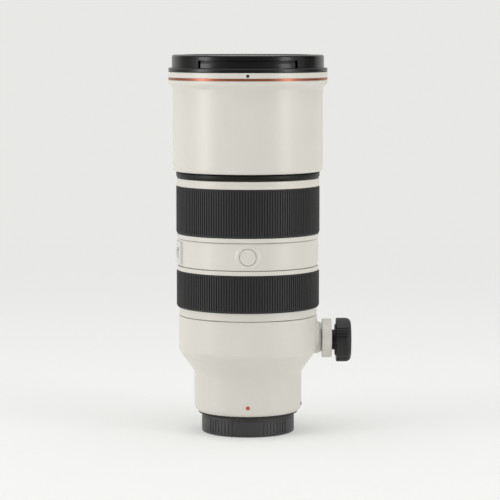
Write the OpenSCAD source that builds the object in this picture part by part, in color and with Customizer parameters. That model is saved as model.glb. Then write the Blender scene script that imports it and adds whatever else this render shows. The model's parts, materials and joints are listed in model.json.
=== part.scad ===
// Large zoom lens for a full-frame camera, standing on its rear cap with the front cap on.
// The optical axis is Z, z = 0 is the rear cap's flat base, and the lens's top side faces -Y.
// Azimuths are in degrees from +X: 0 is the lock knob, 90 the tripod foot, 180 the switches, 270 the top.

/* [Rear cap and mount] */
// How far the rear cap stands out past the mounting flange
rear_cap_step = 2.9; // [2.5:0.1:3.4]
// Height of the rear cap
rear_cap_h = 14.75; // [13:0.1:17]
// How far the rear cap's rim stands up round the mounting flange
rear_cap_rim = 1.8; // [1.4:0.1:2.1]
// Thickness of the rear cap's floor
rear_cap_floor = 2; // [1.5:0.1:3]
// Thickness of the rear cap's wall
rear_cap_wall = 3.7; // [3.4:0.1:4]
// Grip grooves in each group on the rear cap
rear_cap_grooves = 8; // [4:1:12]
// Radius of the clear throat of the bayonet
throat_r = 27; // [26:0.1:27.5]
// Wall of the bayonet tube
bayonet_wall = 1.5; // [1.2:0.1:1.8]
// Length of the bayonet tube behind the flange
bayonet_depth = 5.5; // [5:0.1:6.5]
// Radial reach of the bayonet lugs
lug_reach = 2.4; // [1.5:0.1:2.8]
// Thickness of the bayonet lugs
lug_t = 1.6; // [1.2:0.1:1.8]
// Width of the mounting flange from the throat to its edge
flange_w = 5.4; // [5:0.1:6]
// Thickness of the mounting flange
flange_t = 4.1; // [3.8:0.1:5]
// Length of the flange that shows below the rear barrel
flange_show = 3.3; // [2.5:0.1:3.5]

/* [Rear barrel] */
// How far the rear barrel stands out past the mounting flange
lower_step = 8.6; // [8:0.05:10]
// Wall of the rear barrel
barrel_wall = 2.4; // [2:0.1:3]
// Width of the rounding at the bottom edge of the rear barrel
lower_edge_w = 2.95; // [2:0.05:3.5]
// Height of the rounding at the bottom edge
lower_edge_h = 6; // [4:0.1:8]
// Length of the straight rear barrel
lower_h = 30.45; // [29:0.1:36]
// Height of the cone between the rear barrel and the collar
taper_h = 16.2; // [14:0.1:20]
// Height of the spigot that carries the main tube
spigot_h = 10; // [8:0.5:11]

/* [Tripod collar] */
// How far the tripod collar stands in from the switch housing
collar_step = 0.25; // [0:0.05:1]
// Length of the tripod collar
collar_h = 31.65; // [30.5:0.05:36]
// Part of the cone that belongs to the collar
collar_drop = 5; // [4:0.1:6]
// Radius of the lock boss
lock_boss_r = 12.5; // [11.5:0.1:13.4]
// How far the lock boss stands out past the collar
lock_boss_reach = 2.95; // [2.5:0.05:5]
// Radius of the lock housing
lock_housing_r = 14.9; // [13:0.1:16]
// Length of the lock housing
lock_housing_l = 7.3; // [6:0.05:10]
// Gap between the lock boss and the lock housing
lock_gap = 0.8; // [0.5:0.1:1.2]
// Radius of the lock knob
knob_r = 16.7; // [14:0.1:19]
// Length of the lock knob's drum
knob_l = 11.5; // [9:0.1:16]
// Radius of the lock knob's hub
knob_hub_r = 11.9; // [9:0.1:13]
// Radius of the lock knob's stem
knob_stem_r = 7.7; // [5:0.1:8.5]
// Radius of the lock screw
lock_screw_r = 3; // [2.5:0.1:3.5]
// Radius of the clamp shoe
shoe_r = 5; // [4.6:0.1:6]

/* [Tripod foot] */
// How far the collar's foot pad stands out past the collar
foot_pad_reach = 4.25; // [3.5:0.05:6]
// Width of the foot
foot_w = 36; // [30:1:40]
// Length of the sole
foot_l = 110; // [90:1:130]
// Thickness of the sole
sole_t = 12; // [11:0.5:16]
// Height of the foot from its joint with the collar to its sole
foot_h = 33; // [30:0.5:50]
// Height of the post's joint with the collar
post_h = 24; // [22:0.5:25]
// Bore radius of the small tripod thread
small_thread_r = 2.55; // [2.4:0.05:2.7]
// Bore radius of the large tripod thread
large_thread_r = 3.97; // [3.8:0.01:4.2]
// Depth of the tripod threads
thread_depth = 9; // [7:0.5:10]

/* [Zoom ring] */
// How far the band below the zoom grip stands in from the switch housing
zoom_low_step = 0.6; // [0:0.1:1]
// How far the band above the zoom grip stands out past the switch housing
zoom_high_step = 0.9; // [0:0.1:1]
// How far the zoom grip stands out past the switch housing
zoom_grip_step = 1.3; // [1:0.1:2]
// Height of the band below the zoom grip
zoom_low_h = 6.1; // [6:0.1:9]
// Height of the zoom grip
zoom_grip_h = 28.45; // [24:0.1:34]
// Height of the band above the zoom grip
zoom_high_h = 3.05; // [2.5:0.05:5]
// Turn of the zoom ring, in degrees
zoom_turn = 90; // [70:1:100]
// Ribs round each grip
grip_ribs = 168; // [120:2:190]
// Depth of the grooves between the ribs
rib_depth = 0.7; // [0.4:0.05:0.9]
// Thickness of the rubber grips
grip_t = 2.2; // [2:0.1:2.6]

/* [Switch housing] */
// Height of the switch housing
housing_h = 20.35; // [20:0.1:26]
// Wall of the switch housing
housing_wall = 2.4; // [2:0.1:2.6]
// Radius of the function buttons
button_r = 6.2; // [5:0.1:6.6]
// Travel of the function buttons
button_travel = 0.8; // [0.5:0.1:1]
// Radius of the flat pad round a button
button_pad_r = 9.35; // [8.8:0.05:10]
// Angle that the switch panel covers, in degrees
panel_angle = 40; // [38:1:60]
// Height of the switch panel
panel_h = 16.8; // [14:0.1:18]
// Thickness of the switch panel
panel_t = 1.35; // [1:0.05:1.8]
// Angle between the switches, in degrees
switch_step = 13; // [11:0.5:15]
// Width of a switch knob
switch_w = 4.4; // [3.5:0.1:5]
// Length of a switch knob
switch_l = 4.8; // [4:0.1:6]
// Travel of a switch
switch_travel = 3; // [2:0.1:3.5]

/* [Focus and control rings] */
// How far the band below the focus grip stands out past the switch housing
focus_low_step = 0.9; // [0:0.1:1.2]
// How far the band above the focus grip stands out past the switch housing
focus_high_step = 1.2; // [0:0.1:1.2]
// How far the focus grip stands out past the switch housing
focus_grip_step = 1.5; // [1:0.1:2]
// Height of the band below the focus grip
focus_low_h = 3.4; // [3:0.05:5]
// Height of the focus grip
focus_grip_h = 36.45; // [30:0.05:42]
// Height of the band above the focus grip
focus_high_h = 5.75; // [4:0.05:8]
// How far the control ring stands out past the switch housing
control_step = 1.5; // [0.5:0.1:1.8]
// Height of the control ring
control_h = 4.2; // [4:0.1:7]

/* [Front barrel] */
// How far the front barrel stands out past the switch housing
front_step = 3.9; // [3.5:0.1:6]
// Wall of the front barrel
front_wall = 2.4; // [2:0.1:2.8]
// Length of the straight front barrel
front_h = 63.6; // [61:0.5:75]
// Height of the flare below the red ring
flare_h = 5.6; // [5:0.1:8]
// Straight part of the flare, next to the red ring
flare_rim = 2.7; // [2:0.1:3.2]
// How far the front rim stands out past the front barrel
rim_step = 3.4; // [2.4:0.1:4]
// Height of the red ring
red_h = 1.85; // [1.5:0.05:2.5]
// Height of the hood ring's rim
hood_h = 4.15; // [3.5:0.05:6]
// How far the filter ring stands in from the front rim
filter_step = 0.1; // [0:0.1:0.6]
// Height of the filter ring
filter_h = 3.1; // [3:0.1:5]
// Wall of the filter ring, from its outside to the crests of its thread
filter_wall = 4.74; // [4.4:0.02:5]

/* [Front cap] */
// How far the front cap stands in from the filter ring
cap_step = 2.6; // [2.2:0.1:3]
// Height of the front cap
cap_h = 9.8; // [9.5:0.05:14]
// Wall of the front cap
cap_wall = 3.1; // [2.7:0.1:3.6]
// Thickness of the front cap's disc
cap_t = 3; // [2:0.1:3.2]
// Half of the angle of a pinch window, in degrees
window_half = 39.6; // [38:0.2:44]
// Height of a pinch window
window_h = 6; // [5.5:0.1:6.4]
// Travel of the pinch latches
latch_travel = 2.5; // [1.5:0.1:2.6]

/* [Tubes and optics] */
// Outer radius of the main tube
tube_r = 46; // [42:0.1:51]
// How far the switch housing stands out past the main tube
ring_t = 7; // [6.5:0.1:9]
// Wall of the main tube
tube_wall = 2.5; // [2:0.1:2.8]
// Gap between the cam barrel and the main tube
cam_room = 1.6; // [1:0.1:2]
// Wall of the guide tube
guide_wall = 1.8; // [1.5:0.1:2]
// Wall of the cam barrel
cam_wall = 1.8; // [1.5:0.1:2]
// Length of the cam barrel
cam_h = 88; // [86:1:92]
// Radius of the cam rollers
roller_r = 2; // [1.6:0.1:2.2]
// Travel of the variator group over the zoom range
variator_travel = 24; // [20:0.5:26]
// Travel of the compensator group over the zoom range
compensator_travel = 8; // [6:0.5:9]
// Wall of the cells of the zoom groups
zoom_cell_wall = 4.7; // [4:0.1:6]
// Width of the iris from the guide tube to its opening
iris_w = 11; // [9.5:0.1:13]
// Blades in the iris
iris_blades_n = 9; // [5:1:9]
// Gap between the stabiliser lens and the main tube
stabiliser_room = 17.5; // [16.5:0.1:20]
// Travel of the stabiliser each way
stabiliser_travel = 1; // [0.5:0.1:1.2]
// Wall of the focus cell
focus_cell_wall = 6; // [4:0.1:8]
// Travel of the focus group each way
focus_travel = 4; // [3:0.1:4.3]
// Wall of the front cell
front_cell_wall = 3.45; // [3:0.05:5]
// How far the rear lenses stand in from the throat
rear_glass_step = 3; // [2.5:0.1:5]

/* [Clearances] */
// Gap at a seam that shows as a line
seam = 0.35; // [0.2:0.05:0.5]
// Gap between moving round faces
run_gap = 0.3; // [0.2:0.05:0.4]
// Gap between faces of fixed pieces that fit together
fit_gap = 0.1; // [0.05:0.01:0.15]
// Gap between flat faces that turn on each other
face_gap = 0.1; // [0.05:0.01:0.2]
// Radial gap of a shaft in its bore
shaft_gap = 0.06; // [0.03:0.01:0.1]

/* [Hidden] */
$fn = 128;
curve_steps = 6;
break_edge = 0.4;
through = 1;

// Heights along the axis, from the base up
z_cap_seat = rear_cap_h - rear_cap_rim;
z_flange = z_cap_seat + face_gap;
z_barrel = z_flange + flange_show;
z_web = z_flange + flange_t;
web_t = 2.5;
z_web_top = z_web + web_t;
z_taper = z_barrel + lower_h;
z_shoulder = z_taper + taper_h;
z_collar = z_shoulder - collar_drop;
z_collar_top = z_collar + collar_h;
z_boss = z_collar + lock_boss_r + 1.45;
z_lock_housing = z_boss - 0.7;
z_lock = z_boss - 2;
z_pad = z_collar + collar_h / 2;
z_zoom = z_collar_top + seam;
z_zoom_grip = z_zoom + zoom_low_h;
z_zoom_grip_top = z_zoom_grip + zoom_grip_h;
z_zoom_top = z_zoom_grip_top + zoom_high_h;
z_housing = z_zoom_top + seam;
z_housing_top = z_housing + housing_h;
z_switch = (z_housing + z_housing_top) / 2;
z_focus = z_housing_top + seam;
z_focus_grip = z_focus + focus_low_h;
z_focus_grip_top = z_focus_grip + focus_grip_h;
z_focus_top = z_focus_grip_top + focus_high_h;
z_control = z_focus_top + seam;
z_control_top = z_control + control_h;
z_front = z_control_top + seam;
z_flare = z_front + front_h;
z_red = z_flare + flare_h;
z_hood = z_red + red_h;
z_filter = z_hood + hood_h;
z_cap = z_filter + filter_h;
z_cap_top = z_cap + cap_h;

// Radii of the nested tubes, from the main tube in
tube_in = tube_r - tube_wall;
cam_out = tube_in - cam_room;
cam_in = cam_out - cam_wall;
guide_out = cam_in - run_gap;
guide_r = guide_out - guide_wall;
ring_in = tube_r + run_gap;
seat_in = tube_r + fit_gap;
spigot_r = tube_in - fit_gap;
spigot_in = spigot_r - barrel_wall;

// Radii of the outside, from the main tube out
housing_r = tube_r + ring_t;
collar_r = housing_r - collar_step;
zoom_low_r = housing_r - zoom_low_step;
zoom_high_r = housing_r + zoom_high_step;
zoom_grip_r = housing_r + zoom_grip_step;
focus_low_r = housing_r + focus_low_step;
focus_high_r = housing_r + focus_high_step;
focus_grip_r = housing_r + focus_grip_step;
control_r = housing_r + control_step;
front_r = housing_r + front_step;
front_in = front_r - front_wall;
rim_r = front_r + rim_step;
filter_r = rim_r - filter_step;
thread_r = filter_r - filter_wall;
cap_r = filter_r - cap_step;

// Radii of the rear end, from the throat out
flange_r = throat_r + flange_w;
rear_cap_r = flange_r + rear_cap_step;
lower_r = flange_r + lower_step;
lower_edge_r = lower_r - lower_edge_w;
barrel_in = lower_r - barrel_wall;
rear_glass_r = throat_r - rear_glass_step;

// Rear cap, bayonet and rear group
rear_cap_in = rear_cap_r - rear_cap_wall;
groove_groups = 5;
groove_pitch = 4.8;
groove_d = 0.6;
groove_w = 1;
groove_z = 1.9;
cap_shoulder = 2.9;
cap_rim_r = flange_r + rear_cap_step * 0.42;
cap_rim_in = flange_r + run_gap;
bayonet_r = throat_r + bayonet_wall;
lug_angle = 40;
lug_azimuths = [30, 150, 270];
lug_z = z_flange - bayonet_depth + 0.2;
mount_screw_pcr = (bayonet_r + flange_r) / 2;
mount_screw_r = 0.8;
mount_head_r = 1.4;
mount_head_h = 1.3;
web_in = throat_r + 2;
cell_flange_t = 3.8;
cell_wall = 3;
rear_cell_h = 30;
barrel_screw_r = 1.35;
barrel_screw_azimuths = [-9, 120];
barrel_screw_rise = 0.3;
z_barrel_screw = z_web_top + fit_gap + cell_flange_t / 2;
board_post_h = 3.2;
board_post_r = 1.8;
board_t = 1.2;
z_board = z_web_top + fit_gap + cell_flange_t + board_post_h;
board_in = rear_glass_r + cell_wall + 0.6;
board_out = barrel_in - run_gap;
contact_angle = 70;
contact_pins_n = 10;
contact_t = 3;
contact_h = 8.4;
z_contact = z_flange - bayonet_depth + 1;
dot_r = 1.5;
dot_t = 0.8;
z_dot = z_barrel + 7.05;

// Collar, lock and foot
lock_boss_x = collar_r + lock_boss_reach;
lock_housing_x = lock_boss_x + lock_gap;
lock_face = lock_housing_x + lock_housing_l;
lock_boss_face_r = lock_boss_r * 0.915;
lock_neck_r = lock_boss_face_r - 3.2;
stem_l = 2.4;
hub_l = 1.05;
knob_x = lock_face + face_gap + stem_l + hub_l;
lock_travel = 1;
shoe_end = tube_r + 5.3;
shoe_bore_x = tube_r + 2.5;
screw_tip_x = shoe_bore_x + lock_travel + run_gap;
knob_groups = 4;
knob_grooves = 4;
knob_groove_pitch = 7.3;
knob_group_azimuth = -26.5;
knob_edge = 1.3;
foot_y = collar_r + foot_pad_reach;
sole_y = foot_y + foot_h;
pad_w = foot_w * 0.83;
post_w = foot_w * 0.78;
foot_screw_x = foot_w * 0.22;
foot_screw_z = post_h * 0.31;
foot_screw_r = 1.6;
foot_head_r = 3;
foot_head_h = 3;
foot_head_y = foot_y + foot_h * 0.45;
foot_screw_depth = 6;
z_foot = z_pad - foot_l * 0.31;
z_small_thread = z_foot + foot_l * 0.53;
z_large_thread = z_foot + foot_l * 0.76;
sole_back = sole_y - sole_t;

// Rings and zoom drive
land_h = 5;
ring_wall = 2.5;
grip_lip = 1;
grip_low_lip = 1.6;
grip_fall = 1.2;
key_azimuth = 60;
key_r = 2;
key_room = 4;
z_key = z_zoom + land_h / 2;
z_guide = z_zoom - 5.5;
guide_flange_t = 3;
z_guide_top = z_front + 4;
z_cam = z_guide + guide_flange_t + 1;
variator_rest = 47.5;
compensator_rest = 29.5;
z_variator = z_cam + variator_rest;
z_compensator = z_cam + compensator_rest;
variator_h = 16;
compensator_h = 12;
roller_azimuths = [20, 140, 260];
cam_slot_w = 2 * (roller_r + run_gap);
cam_over = 5;
cam_parts = 8;

// Iris, stabiliser, focus and front group
z_iris = z_guide + 4;
iris_r = guide_r - iris_w;
zoom_glass_r = guide_r - run_gap - zoom_cell_wall;
iris_plate_t = 1.2;
iris_wall = 1.5;
iris_h = 9;
blade_w = iris_w * 0.4;
blade_t = 0.25;
blade_step = 0.5;
blade_angle = 78;
blade_pin_r = 0.8;
z_stabiliser = z_collar + spigot_h;
stabiliser_base_t = 3.5;
stabiliser_plate_t = 3;
stabiliser_cell_t = 5;
stabiliser_gap = 0.3;
stabiliser_post_r = 2;
stabiliser_post_gap = 0.08;
stabiliser_glass_r = tube_in - stabiliser_room;
stabiliser_frame_r = tube_in - 3.5;
stabiliser_cell_r = stabiliser_glass_r + 8;
z_frame = z_stabiliser + stabiliser_base_t + stabiliser_gap;
z_holder = z_frame + stabiliser_plate_t + stabiliser_gap;
base_post_y = stabiliser_frame_r - 4;
frame_post_x = stabiliser_cell_r - 4;
barrel_floor_t = 4;
z_rods = z_front + barrel_floor_t;
rods_l = 20;
rod_r = 1.5;
rod_pcr = tube_r + rod_r + run_gap;
rod_azimuths = [0, 120, 240];
motor_azimuths = [60, 180];
z_focus_cell = z_rods + 9;
focus_cell_h = 8;
focus_cell_r = rod_pcr - rod_r - 2.3;
focus_glass_r = focus_cell_r - focus_cell_wall;
motor_w = 12;
motor_h = 16;
z_front_cell = z_rods + rods_l;
z_front_cell_top = z_red - 8;
front_cell_r = front_in - 2 * fit_gap;
front_glass_r = front_cell_r - front_cell_wall - fit_gap / 2;
front_lip_t = 3;
hood_in = front_in - 2.7;
hood_sleeve_h = 6;
thread_pitch = 1;
thread_tooth = 0.54;
hood_round = 0.6;

// Buttons, switches and front cap
pad_rise = 0.15;
pad_slope = 1.6;
pad_foot = 1.1;
button_rise = 0.15;
button_gap = 0.3;
button_flange_r = button_r + 1.1;
button_flange_t = 1;
button_seat = housing_r - housing_wall - 0.6;
button_dish_r = 70;
panel_r = housing_r + fit_gap / 2;
switch_rise = 0.2;
panel_slope = 2.6;
switch_gap = 0.3;
switch_window_l = switch_l + switch_travel + 2 * switch_gap;
switch_base = housing_r - housing_wall - 1.6;
z_window_top = z_cap + window_h;
latch_half = window_half - 1.9;
latch_gap = 0.35;
latch_edge = 1;
latch_slope_w = 0.6;
latch_slope_h = 2.1;
latch_lip = 1.2;
tooth_half = 30;
tab_depth = 4;
tab_recess = 0.5;
tongue_w = cap_r * 0.35;
tongue_l = cap_r * 0.56;
tongue_t = 3;
tongue_lift = 1.2;
cap_plug = 2.6;
plug_r = thread_r - run_gap;
plug_half = 36;
cap_in = cap_r - cap_wall;
cap_dish = 0.6;
cap_border = 8;

// Plain geometry
function polar(r, a) = [r * cos(a), r * sin(a)];
function along(p, q, d) = p + (q - p) * d / norm(q - p);
function curve(a, b, c) =
    [for (i = [0:curve_steps]) let (t = i / curve_steps) a * pow(1 - t, 2) + b * 2 * t * (1 - t) + c * t * t];
function rounded(p, q, s, d) = curve(along(q, p, d), q, along(q, s, d));
function sag(c, r) = abs(c) - sqrt(c * c - r * r);
function taper_at(z) = lower_r + (collar_r - lower_r) * (z - z_taper) / taper_h;
function ribbed(r, d, n) = [for (i = [0:n - 1]) let (a = 360 / n)
    each [polar(r - d, a * i), polar(r - d, a * (i + 0.3)),
        polar(r, a * (i + 0.42)), polar(r, a * (i + 0.88))]];

module turned(points) {
    rotate_extrude() polygon(points);
}

module turned_x(points) {
    rotate([0, 90, 0]) rotate_extrude() polygon(points);
}

// A ring of rectangular section
module band(r0, r1, z0, z1) {
    rotate_extrude() translate([r0, z0]) square([r1 - r0, z1 - z0]);
}

// Part of such a ring, centred on an azimuth
module sector(r0, r1, z0, z1, azimuth, half) {
    rotate([0, 0, azimuth - half]) rotate_extrude(angle = 2 * half)
        translate([r0, z0]) square([r1 - r0, z1 - z0]);
}

// A round bar that points away from the axis
module radial_pin(azimuth, r0, r1, z, r) {
    rotate([0, 0, azimuth]) translate([r0, 0, z]) rotate([0, 90, 0]) cylinder(r = r, h = r1 - r0);
}

// A block that stands across the axis: w round the axis, h along it
module radial_block(azimuth, r0, r1, z, w, h) {
    rotate([0, 0, azimuth]) translate([r0, -w / 2, z - h / 2]) cube([r1 - r0, w, h]);
}

// A lens between two edge heights; its faces' curvature is in lens radii, positive where a face bulges
module lens(r, z0, z1, rear, front) {
    rear_c = rear * r;
    front_c = front * r;
    low = rear > 0 ? sag(rear_c, r) : 0;
    high = front > 0 ? sag(front_c, r) : 0;
    difference() {
        intersection() {
            translate([0, 0, z0 - low]) cylinder(r = r, h = z1 - z0 + low + high);
            if (rear > 0) translate([0, 0, z0 - low + rear_c]) sphere(r = rear_c, $fn = 256);
            if (front > 0) translate([0, 0, z1 + high - front_c]) sphere(r = front_c, $fn = 256);
        }
        if (rear < 0) translate([0, 0, z0 + sag(rear_c, r) + rear_c]) sphere(r = -rear_c, $fn = 256);
        if (front < 0) translate([0, 0, z1 - sag(front_c, r) - front_c]) sphere(r = -front_c, $fn = 256);
    }
}

// The core of a turning ring, with a bearing land at each end and a seat for its grip
module ring_core(z0, grip0, grip1, z1, low_r, high_r, seat_r) {
    relief_r = seat_r - ring_wall;
    turned([[ring_in, z0], [low_r - break_edge, z0], [low_r, z0 + break_edge], [low_r, grip0],
        [seat_r, grip0], [seat_r, grip1], [high_r, grip1], [high_r, z1 - break_edge],
        [high_r - break_edge, z1], [ring_in, z1], [ring_in, z1 - land_h], [relief_r, z1 - land_h],
        [relief_r, z0 + land_h], [ring_in, z0 + land_h]]);
}

// A rubber grip with straight ribs between two plain lips, the lower one rounded down to the band below
module grip(r, z0, z1, low_r) {
    bore = r - grip_t + fit_gap / 2;
    low_top = [r - rib_depth / 2, z0 + grip_low_lip];
    high_r = r - rib_depth / 3;
    rib_z = low_top[1] - fit_gap;
    translate([0, 0, rib_z]) linear_extrude(z1 - grip_lip + fit_gap - rib_z) difference() {
        polygon(ribbed(r, rib_depth, grip_ribs));
        circle(r = bore);
    }
    turned(concat([[bore, z0]], curve([low_r + fit_gap, z0], [low_top[0], z0 + 0.2], low_top),
        [[bore, low_top[1]]]));
    turned(concat([[bore, z1 - grip_lip], [high_r, z1 - grip_lip]],
        rounded([high_r, z1 - grip_lip], [high_r, z1], [bore, z1], grip_lip * 0.8), [[bore, z1]]));
}

// Rear cap and mount

module rear_cap() {
    color([0.16, 0.16, 0.17]) {
        difference() {
            turned(concat([[0, 0]], rounded([0, 0], [rear_cap_r, 0], [rear_cap_r, rear_cap_h], 1.6),
                [[rear_cap_r, rear_cap_h - cap_shoulder], [cap_rim_r, rear_cap_h], [cap_rim_in, rear_cap_h],
                [cap_rim_in, z_cap_seat], [rear_cap_in, z_cap_seat], [rear_cap_in, rear_cap_floor],
                [0, rear_cap_floor]]));
            for (g = [0:groove_groups - 1], i = [0:rear_cap_grooves - 1])
                rotate([0, 0, 90 + 360 / groove_groups * g + groove_pitch * (i - (rear_cap_grooves - 1) / 2)])
                    translate([rear_cap_r - groove_d, -groove_w / 2, groove_z])
                        cube([groove_d + through, groove_w, rear_cap_h - cap_shoulder - groove_z - 0.3]);
        }
        for (a = lug_azimuths)
            sector(bayonet_r + 0.5, rear_cap_in + fit_gap, lug_z + lug_t + run_gap,
                z_cap_seat - 1.2, a, lug_angle / 2);
    }
}

module bayonet_mount() {
    color([0.72, 0.72, 0.74]) difference() {
        union() {
            band(throat_r, flange_r, z_flange, z_web);
            band(throat_r, bayonet_r, z_flange - bayonet_depth, z_flange);
            for (a = lug_azimuths)
                sector(bayonet_r - fit_gap, bayonet_r + lug_reach, lug_z, lug_z + lug_t, a, lug_angle / 2);
        }
        for (a = [0:90:270]) rotate([0, 0, a + 45]) translate([mount_screw_pcr, 0, z_flange]) {
            translate([0, 0, -through]) cylinder(r = mount_head_r + fit_gap, h = mount_head_h + through);
            cylinder(r = mount_screw_r + fit_gap, h = flange_t + through);
        }
    }
}

module mount_screws() {
    color([0.6, 0.6, 0.62]) for (a = [0:90:270]) rotate([0, 0, a + 45])
        translate([mount_screw_pcr, 0, z_flange + 0.2]) {
            cylinder(r = mount_head_r, h = mount_head_h - 0.2);
            cylinder(r = mount_screw_r, h = flange_t + web_t - 0.5);
        }
}

module contact_block() {
    color([0.08, 0.08, 0.08])
        sector(throat_r - contact_t, throat_r - fit_gap / 2, z_contact, z_contact + contact_h, 90,
            contact_angle / 2);
}

module contact_pins() {
    color([0.83, 0.68, 0.32]) for (i = [0:contact_pins_n - 1])
        rotate([0, 0, 90 + (i - (contact_pins_n - 1) / 2) * contact_angle * 0.9 / contact_pins_n])
            translate([throat_r - contact_t / 2, 0, z_contact - 0.6]) cylinder(r = 0.7, h = 0.6);
}

module mount_gasket() {
    color([0.06, 0.06, 0.06])
        band(flange_r + fit_gap, lower_edge_r - run_gap, rear_cap_h + run_gap, z_barrel - fit_gap / 2);
}

// Rear barrel and rear group

module rear_barrel() {
    edge = [for (i = [0:curve_steps]) let (t = 90 * i / curve_steps)
        [lower_edge_r + (lower_r - lower_edge_r) * sin(t), z_barrel + lower_edge_h * (1 - cos(t))]];
    top = [taper_at(z_collar), z_collar];
    color([0.83, 0.82, 0.79]) difference() {
        turned(concat([[flange_r + fit_gap, z_barrel]], edge,
            rounded([lower_r, z_barrel], [lower_r, z_taper], top, 2.6),
            [top, [spigot_r, z_collar], [spigot_r, z_collar + spigot_h], [spigot_in, z_collar + spigot_h],
            [spigot_in, z_taper + 5], [barrel_in, z_taper], [barrel_in, z_web_top], [web_in, z_web_top],
            [web_in, z_web], [flange_r + fit_gap, z_web]]));
        for (a = [0:90:270]) rotate([0, 0, a + 45]) translate([mount_screw_pcr, 0, z_web - through])
            cylinder(r = mount_screw_r + fit_gap, h = web_t + 2 * through);
        for (a = barrel_screw_azimuths)
            radial_pin(a, barrel_in - through, lower_r + through, z_barrel_screw, barrel_screw_r + fit_gap);
        radial_pin(270, lower_r - dot_t, lower_r + through, z_dot, dot_r + fit_gap);
    }
}

module mount_index_dot() {
    color([0.75, 0.12, 0.1]) radial_pin(270, lower_r - dot_t + fit_gap, lower_r + fit_gap, z_dot, dot_r);
}

module barrel_screws() {
    color([0.12, 0.12, 0.12]) for (a = barrel_screw_azimuths) difference() {
        radial_pin(a, barrel_in - 3, lower_r + barrel_screw_rise, z_barrel_screw, barrel_screw_r);
        radial_block(a, lower_r - 0.4, lower_r + through, z_barrel_screw, 1.8, 0.4);
        radial_block(a, lower_r - 0.4, lower_r + through, z_barrel_screw, 0.4, 1.8);
    }
}

module rear_cell() {
    z0 = z_web_top + fit_gap;
    z1 = z_web_top + rear_cell_h;
    bore = rear_glass_r + fit_gap / 2;
    out = rear_glass_r + cell_wall;
    color([0.07, 0.07, 0.08]) difference() {
        union() {
            turned([[bore, z0], [barrel_in - run_gap, z0], [barrel_in - run_gap, z0 + cell_flange_t],
                [out, z0 + cell_flange_t], [out, z1], [bore, z1]]);
            for (a = [60:120:300]) rotate([0, 0, a]) translate([(board_in + board_out) / 2, 0, z0])
                cylinder(r = board_post_r, h = z_board - z0);
        }
        for (a = barrel_screw_azimuths)
            radial_pin(a, barrel_in - 3.2, barrel_in, z_barrel_screw, barrel_screw_r + fit_gap);
    }
}

module rear_glass() {
    z = z_web_top;
    h = rear_cell_h;
    color([0.7, 0.8, 0.85, 0.5]) {
        lens(rear_glass_r, z + h * 0.2, z + h * 0.3, 5, 3.75);
        lens(rear_glass_r, z + h * 0.66, z + h * 0.86, -5.8, 4.6);
    }
}

module circuit_board() {
    color([0.1, 0.32, 0.18]) {
        band(board_in, board_out, z_board, z_board + board_t);
        for (a = [10:45:325]) rotate([0, 0, a]) translate([(board_in + board_out) / 2 - 2.5, -3, z_board])
            cube([5, 6, board_t + 1.1]);
    }
}

// Tripod collar, lock and foot

module tripod_collar() {
    z0 = z_collar + face_gap * 0.4;
    low = [taper_at(z0), z0];
    color([0.83, 0.82, 0.79]) difference() {
        union() {
            turned(concat([[ring_in, z0], low],
                rounded(low, [collar_r, z_shoulder], [collar_r, z_collar_top], 2.2),
                [[collar_r, z_collar_top - break_edge], [collar_r - break_edge, z_collar_top],
                [ring_in, z_collar_top]]));
            translate([0, 0, z_boss]) turned_x([[0, tube_r + 2], [lock_boss_r, tube_r + 2],
                [lock_boss_r, collar_r], [lock_boss_face_r, lock_boss_x - break_edge],
                [lock_boss_face_r - break_edge, lock_boss_x], [0, lock_boss_x]]);
            translate([-pad_w / 2, tube_r + 2, z_pad - post_h / 2])
                cube([pad_w, foot_y - tube_r - 2, post_h]);
        }
        translate([0, 0, z0 - through]) cylinder(r = ring_in, h = collar_h + 2 * through);
        translate([0, 0, z_lock]) rotate([0, 90, 0])
            cylinder(r = shoe_r + shaft_gap, h = lock_boss_x + through);
        for (x = [-foot_screw_x, foot_screw_x], z = [-foot_screw_z, foot_screw_z])
            translate([x, foot_y + through, z_pad + z]) rotate([90, 0, 0])
                cylinder(r = foot_screw_r + fit_gap, h = foot_screw_depth + 2 * through);
    }
}

module tripod_foot() {
    joint = foot_y + fit_gap / 2;
    low = z_pad - post_h / 2;
    high = z_pad + post_h / 2;
    top = z_foot + foot_l;
    side = concat([[joint, low], [joint, high]],
        rounded([joint, high], [sole_back, high], [sole_back, top], 8),
        rounded([sole_back, high], [sole_back, top], [sole_y, top], 4), [[sole_y, top], [sole_y, z_foot]],
        rounded([sole_y, z_foot], [sole_back, z_foot], [sole_back, low], 4),
        rounded([sole_back, z_foot], [sole_back, low], [joint, low], 8));
    w = foot_w / 2;
    front = concat(rounded([-w, z_foot], [-w, top], [w, top], 9),
        rounded([-w, top], [w, top], [w, z_foot], 9),
        rounded([w, top], [w, z_foot], [-w, z_foot], 9), rounded([w, z_foot], [-w, z_foot], [-w, top], 9));
    color([0.83, 0.82, 0.79]) difference() {
        intersection() {
            union() {
                rotate([90, 0, 90]) linear_extrude(post_w, center = true) polygon(side);
                translate([-w, sole_back, z_foot]) cube([foot_w, sole_t, foot_l]);
            }
            rotate([90, 0, 0]) translate([0, 0, -sole_y - through]) linear_extrude(sole_y) polygon(front);
        }
        for (x = [-foot_screw_x, foot_screw_x], z = [-foot_screw_z, foot_screw_z])
            translate([x, 0, z_pad + z]) rotate([-90, 0, 0]) {
                cylinder(r = foot_screw_r + fit_gap, h = sole_y);
                translate([0, 0, foot_head_y]) cylinder(r = foot_head_r + run_gap, h = sole_y);
            }
        translate([0, sole_y - thread_depth, z_small_thread]) rotate([-90, 0, 0])
            cylinder(r = small_thread_r, h = thread_depth + through);
        translate([0, sole_y - thread_depth, z_large_thread]) rotate([-90, 0, 0])
            cylinder(r = large_thread_r, h = thread_depth + through);
    }
}

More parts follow.
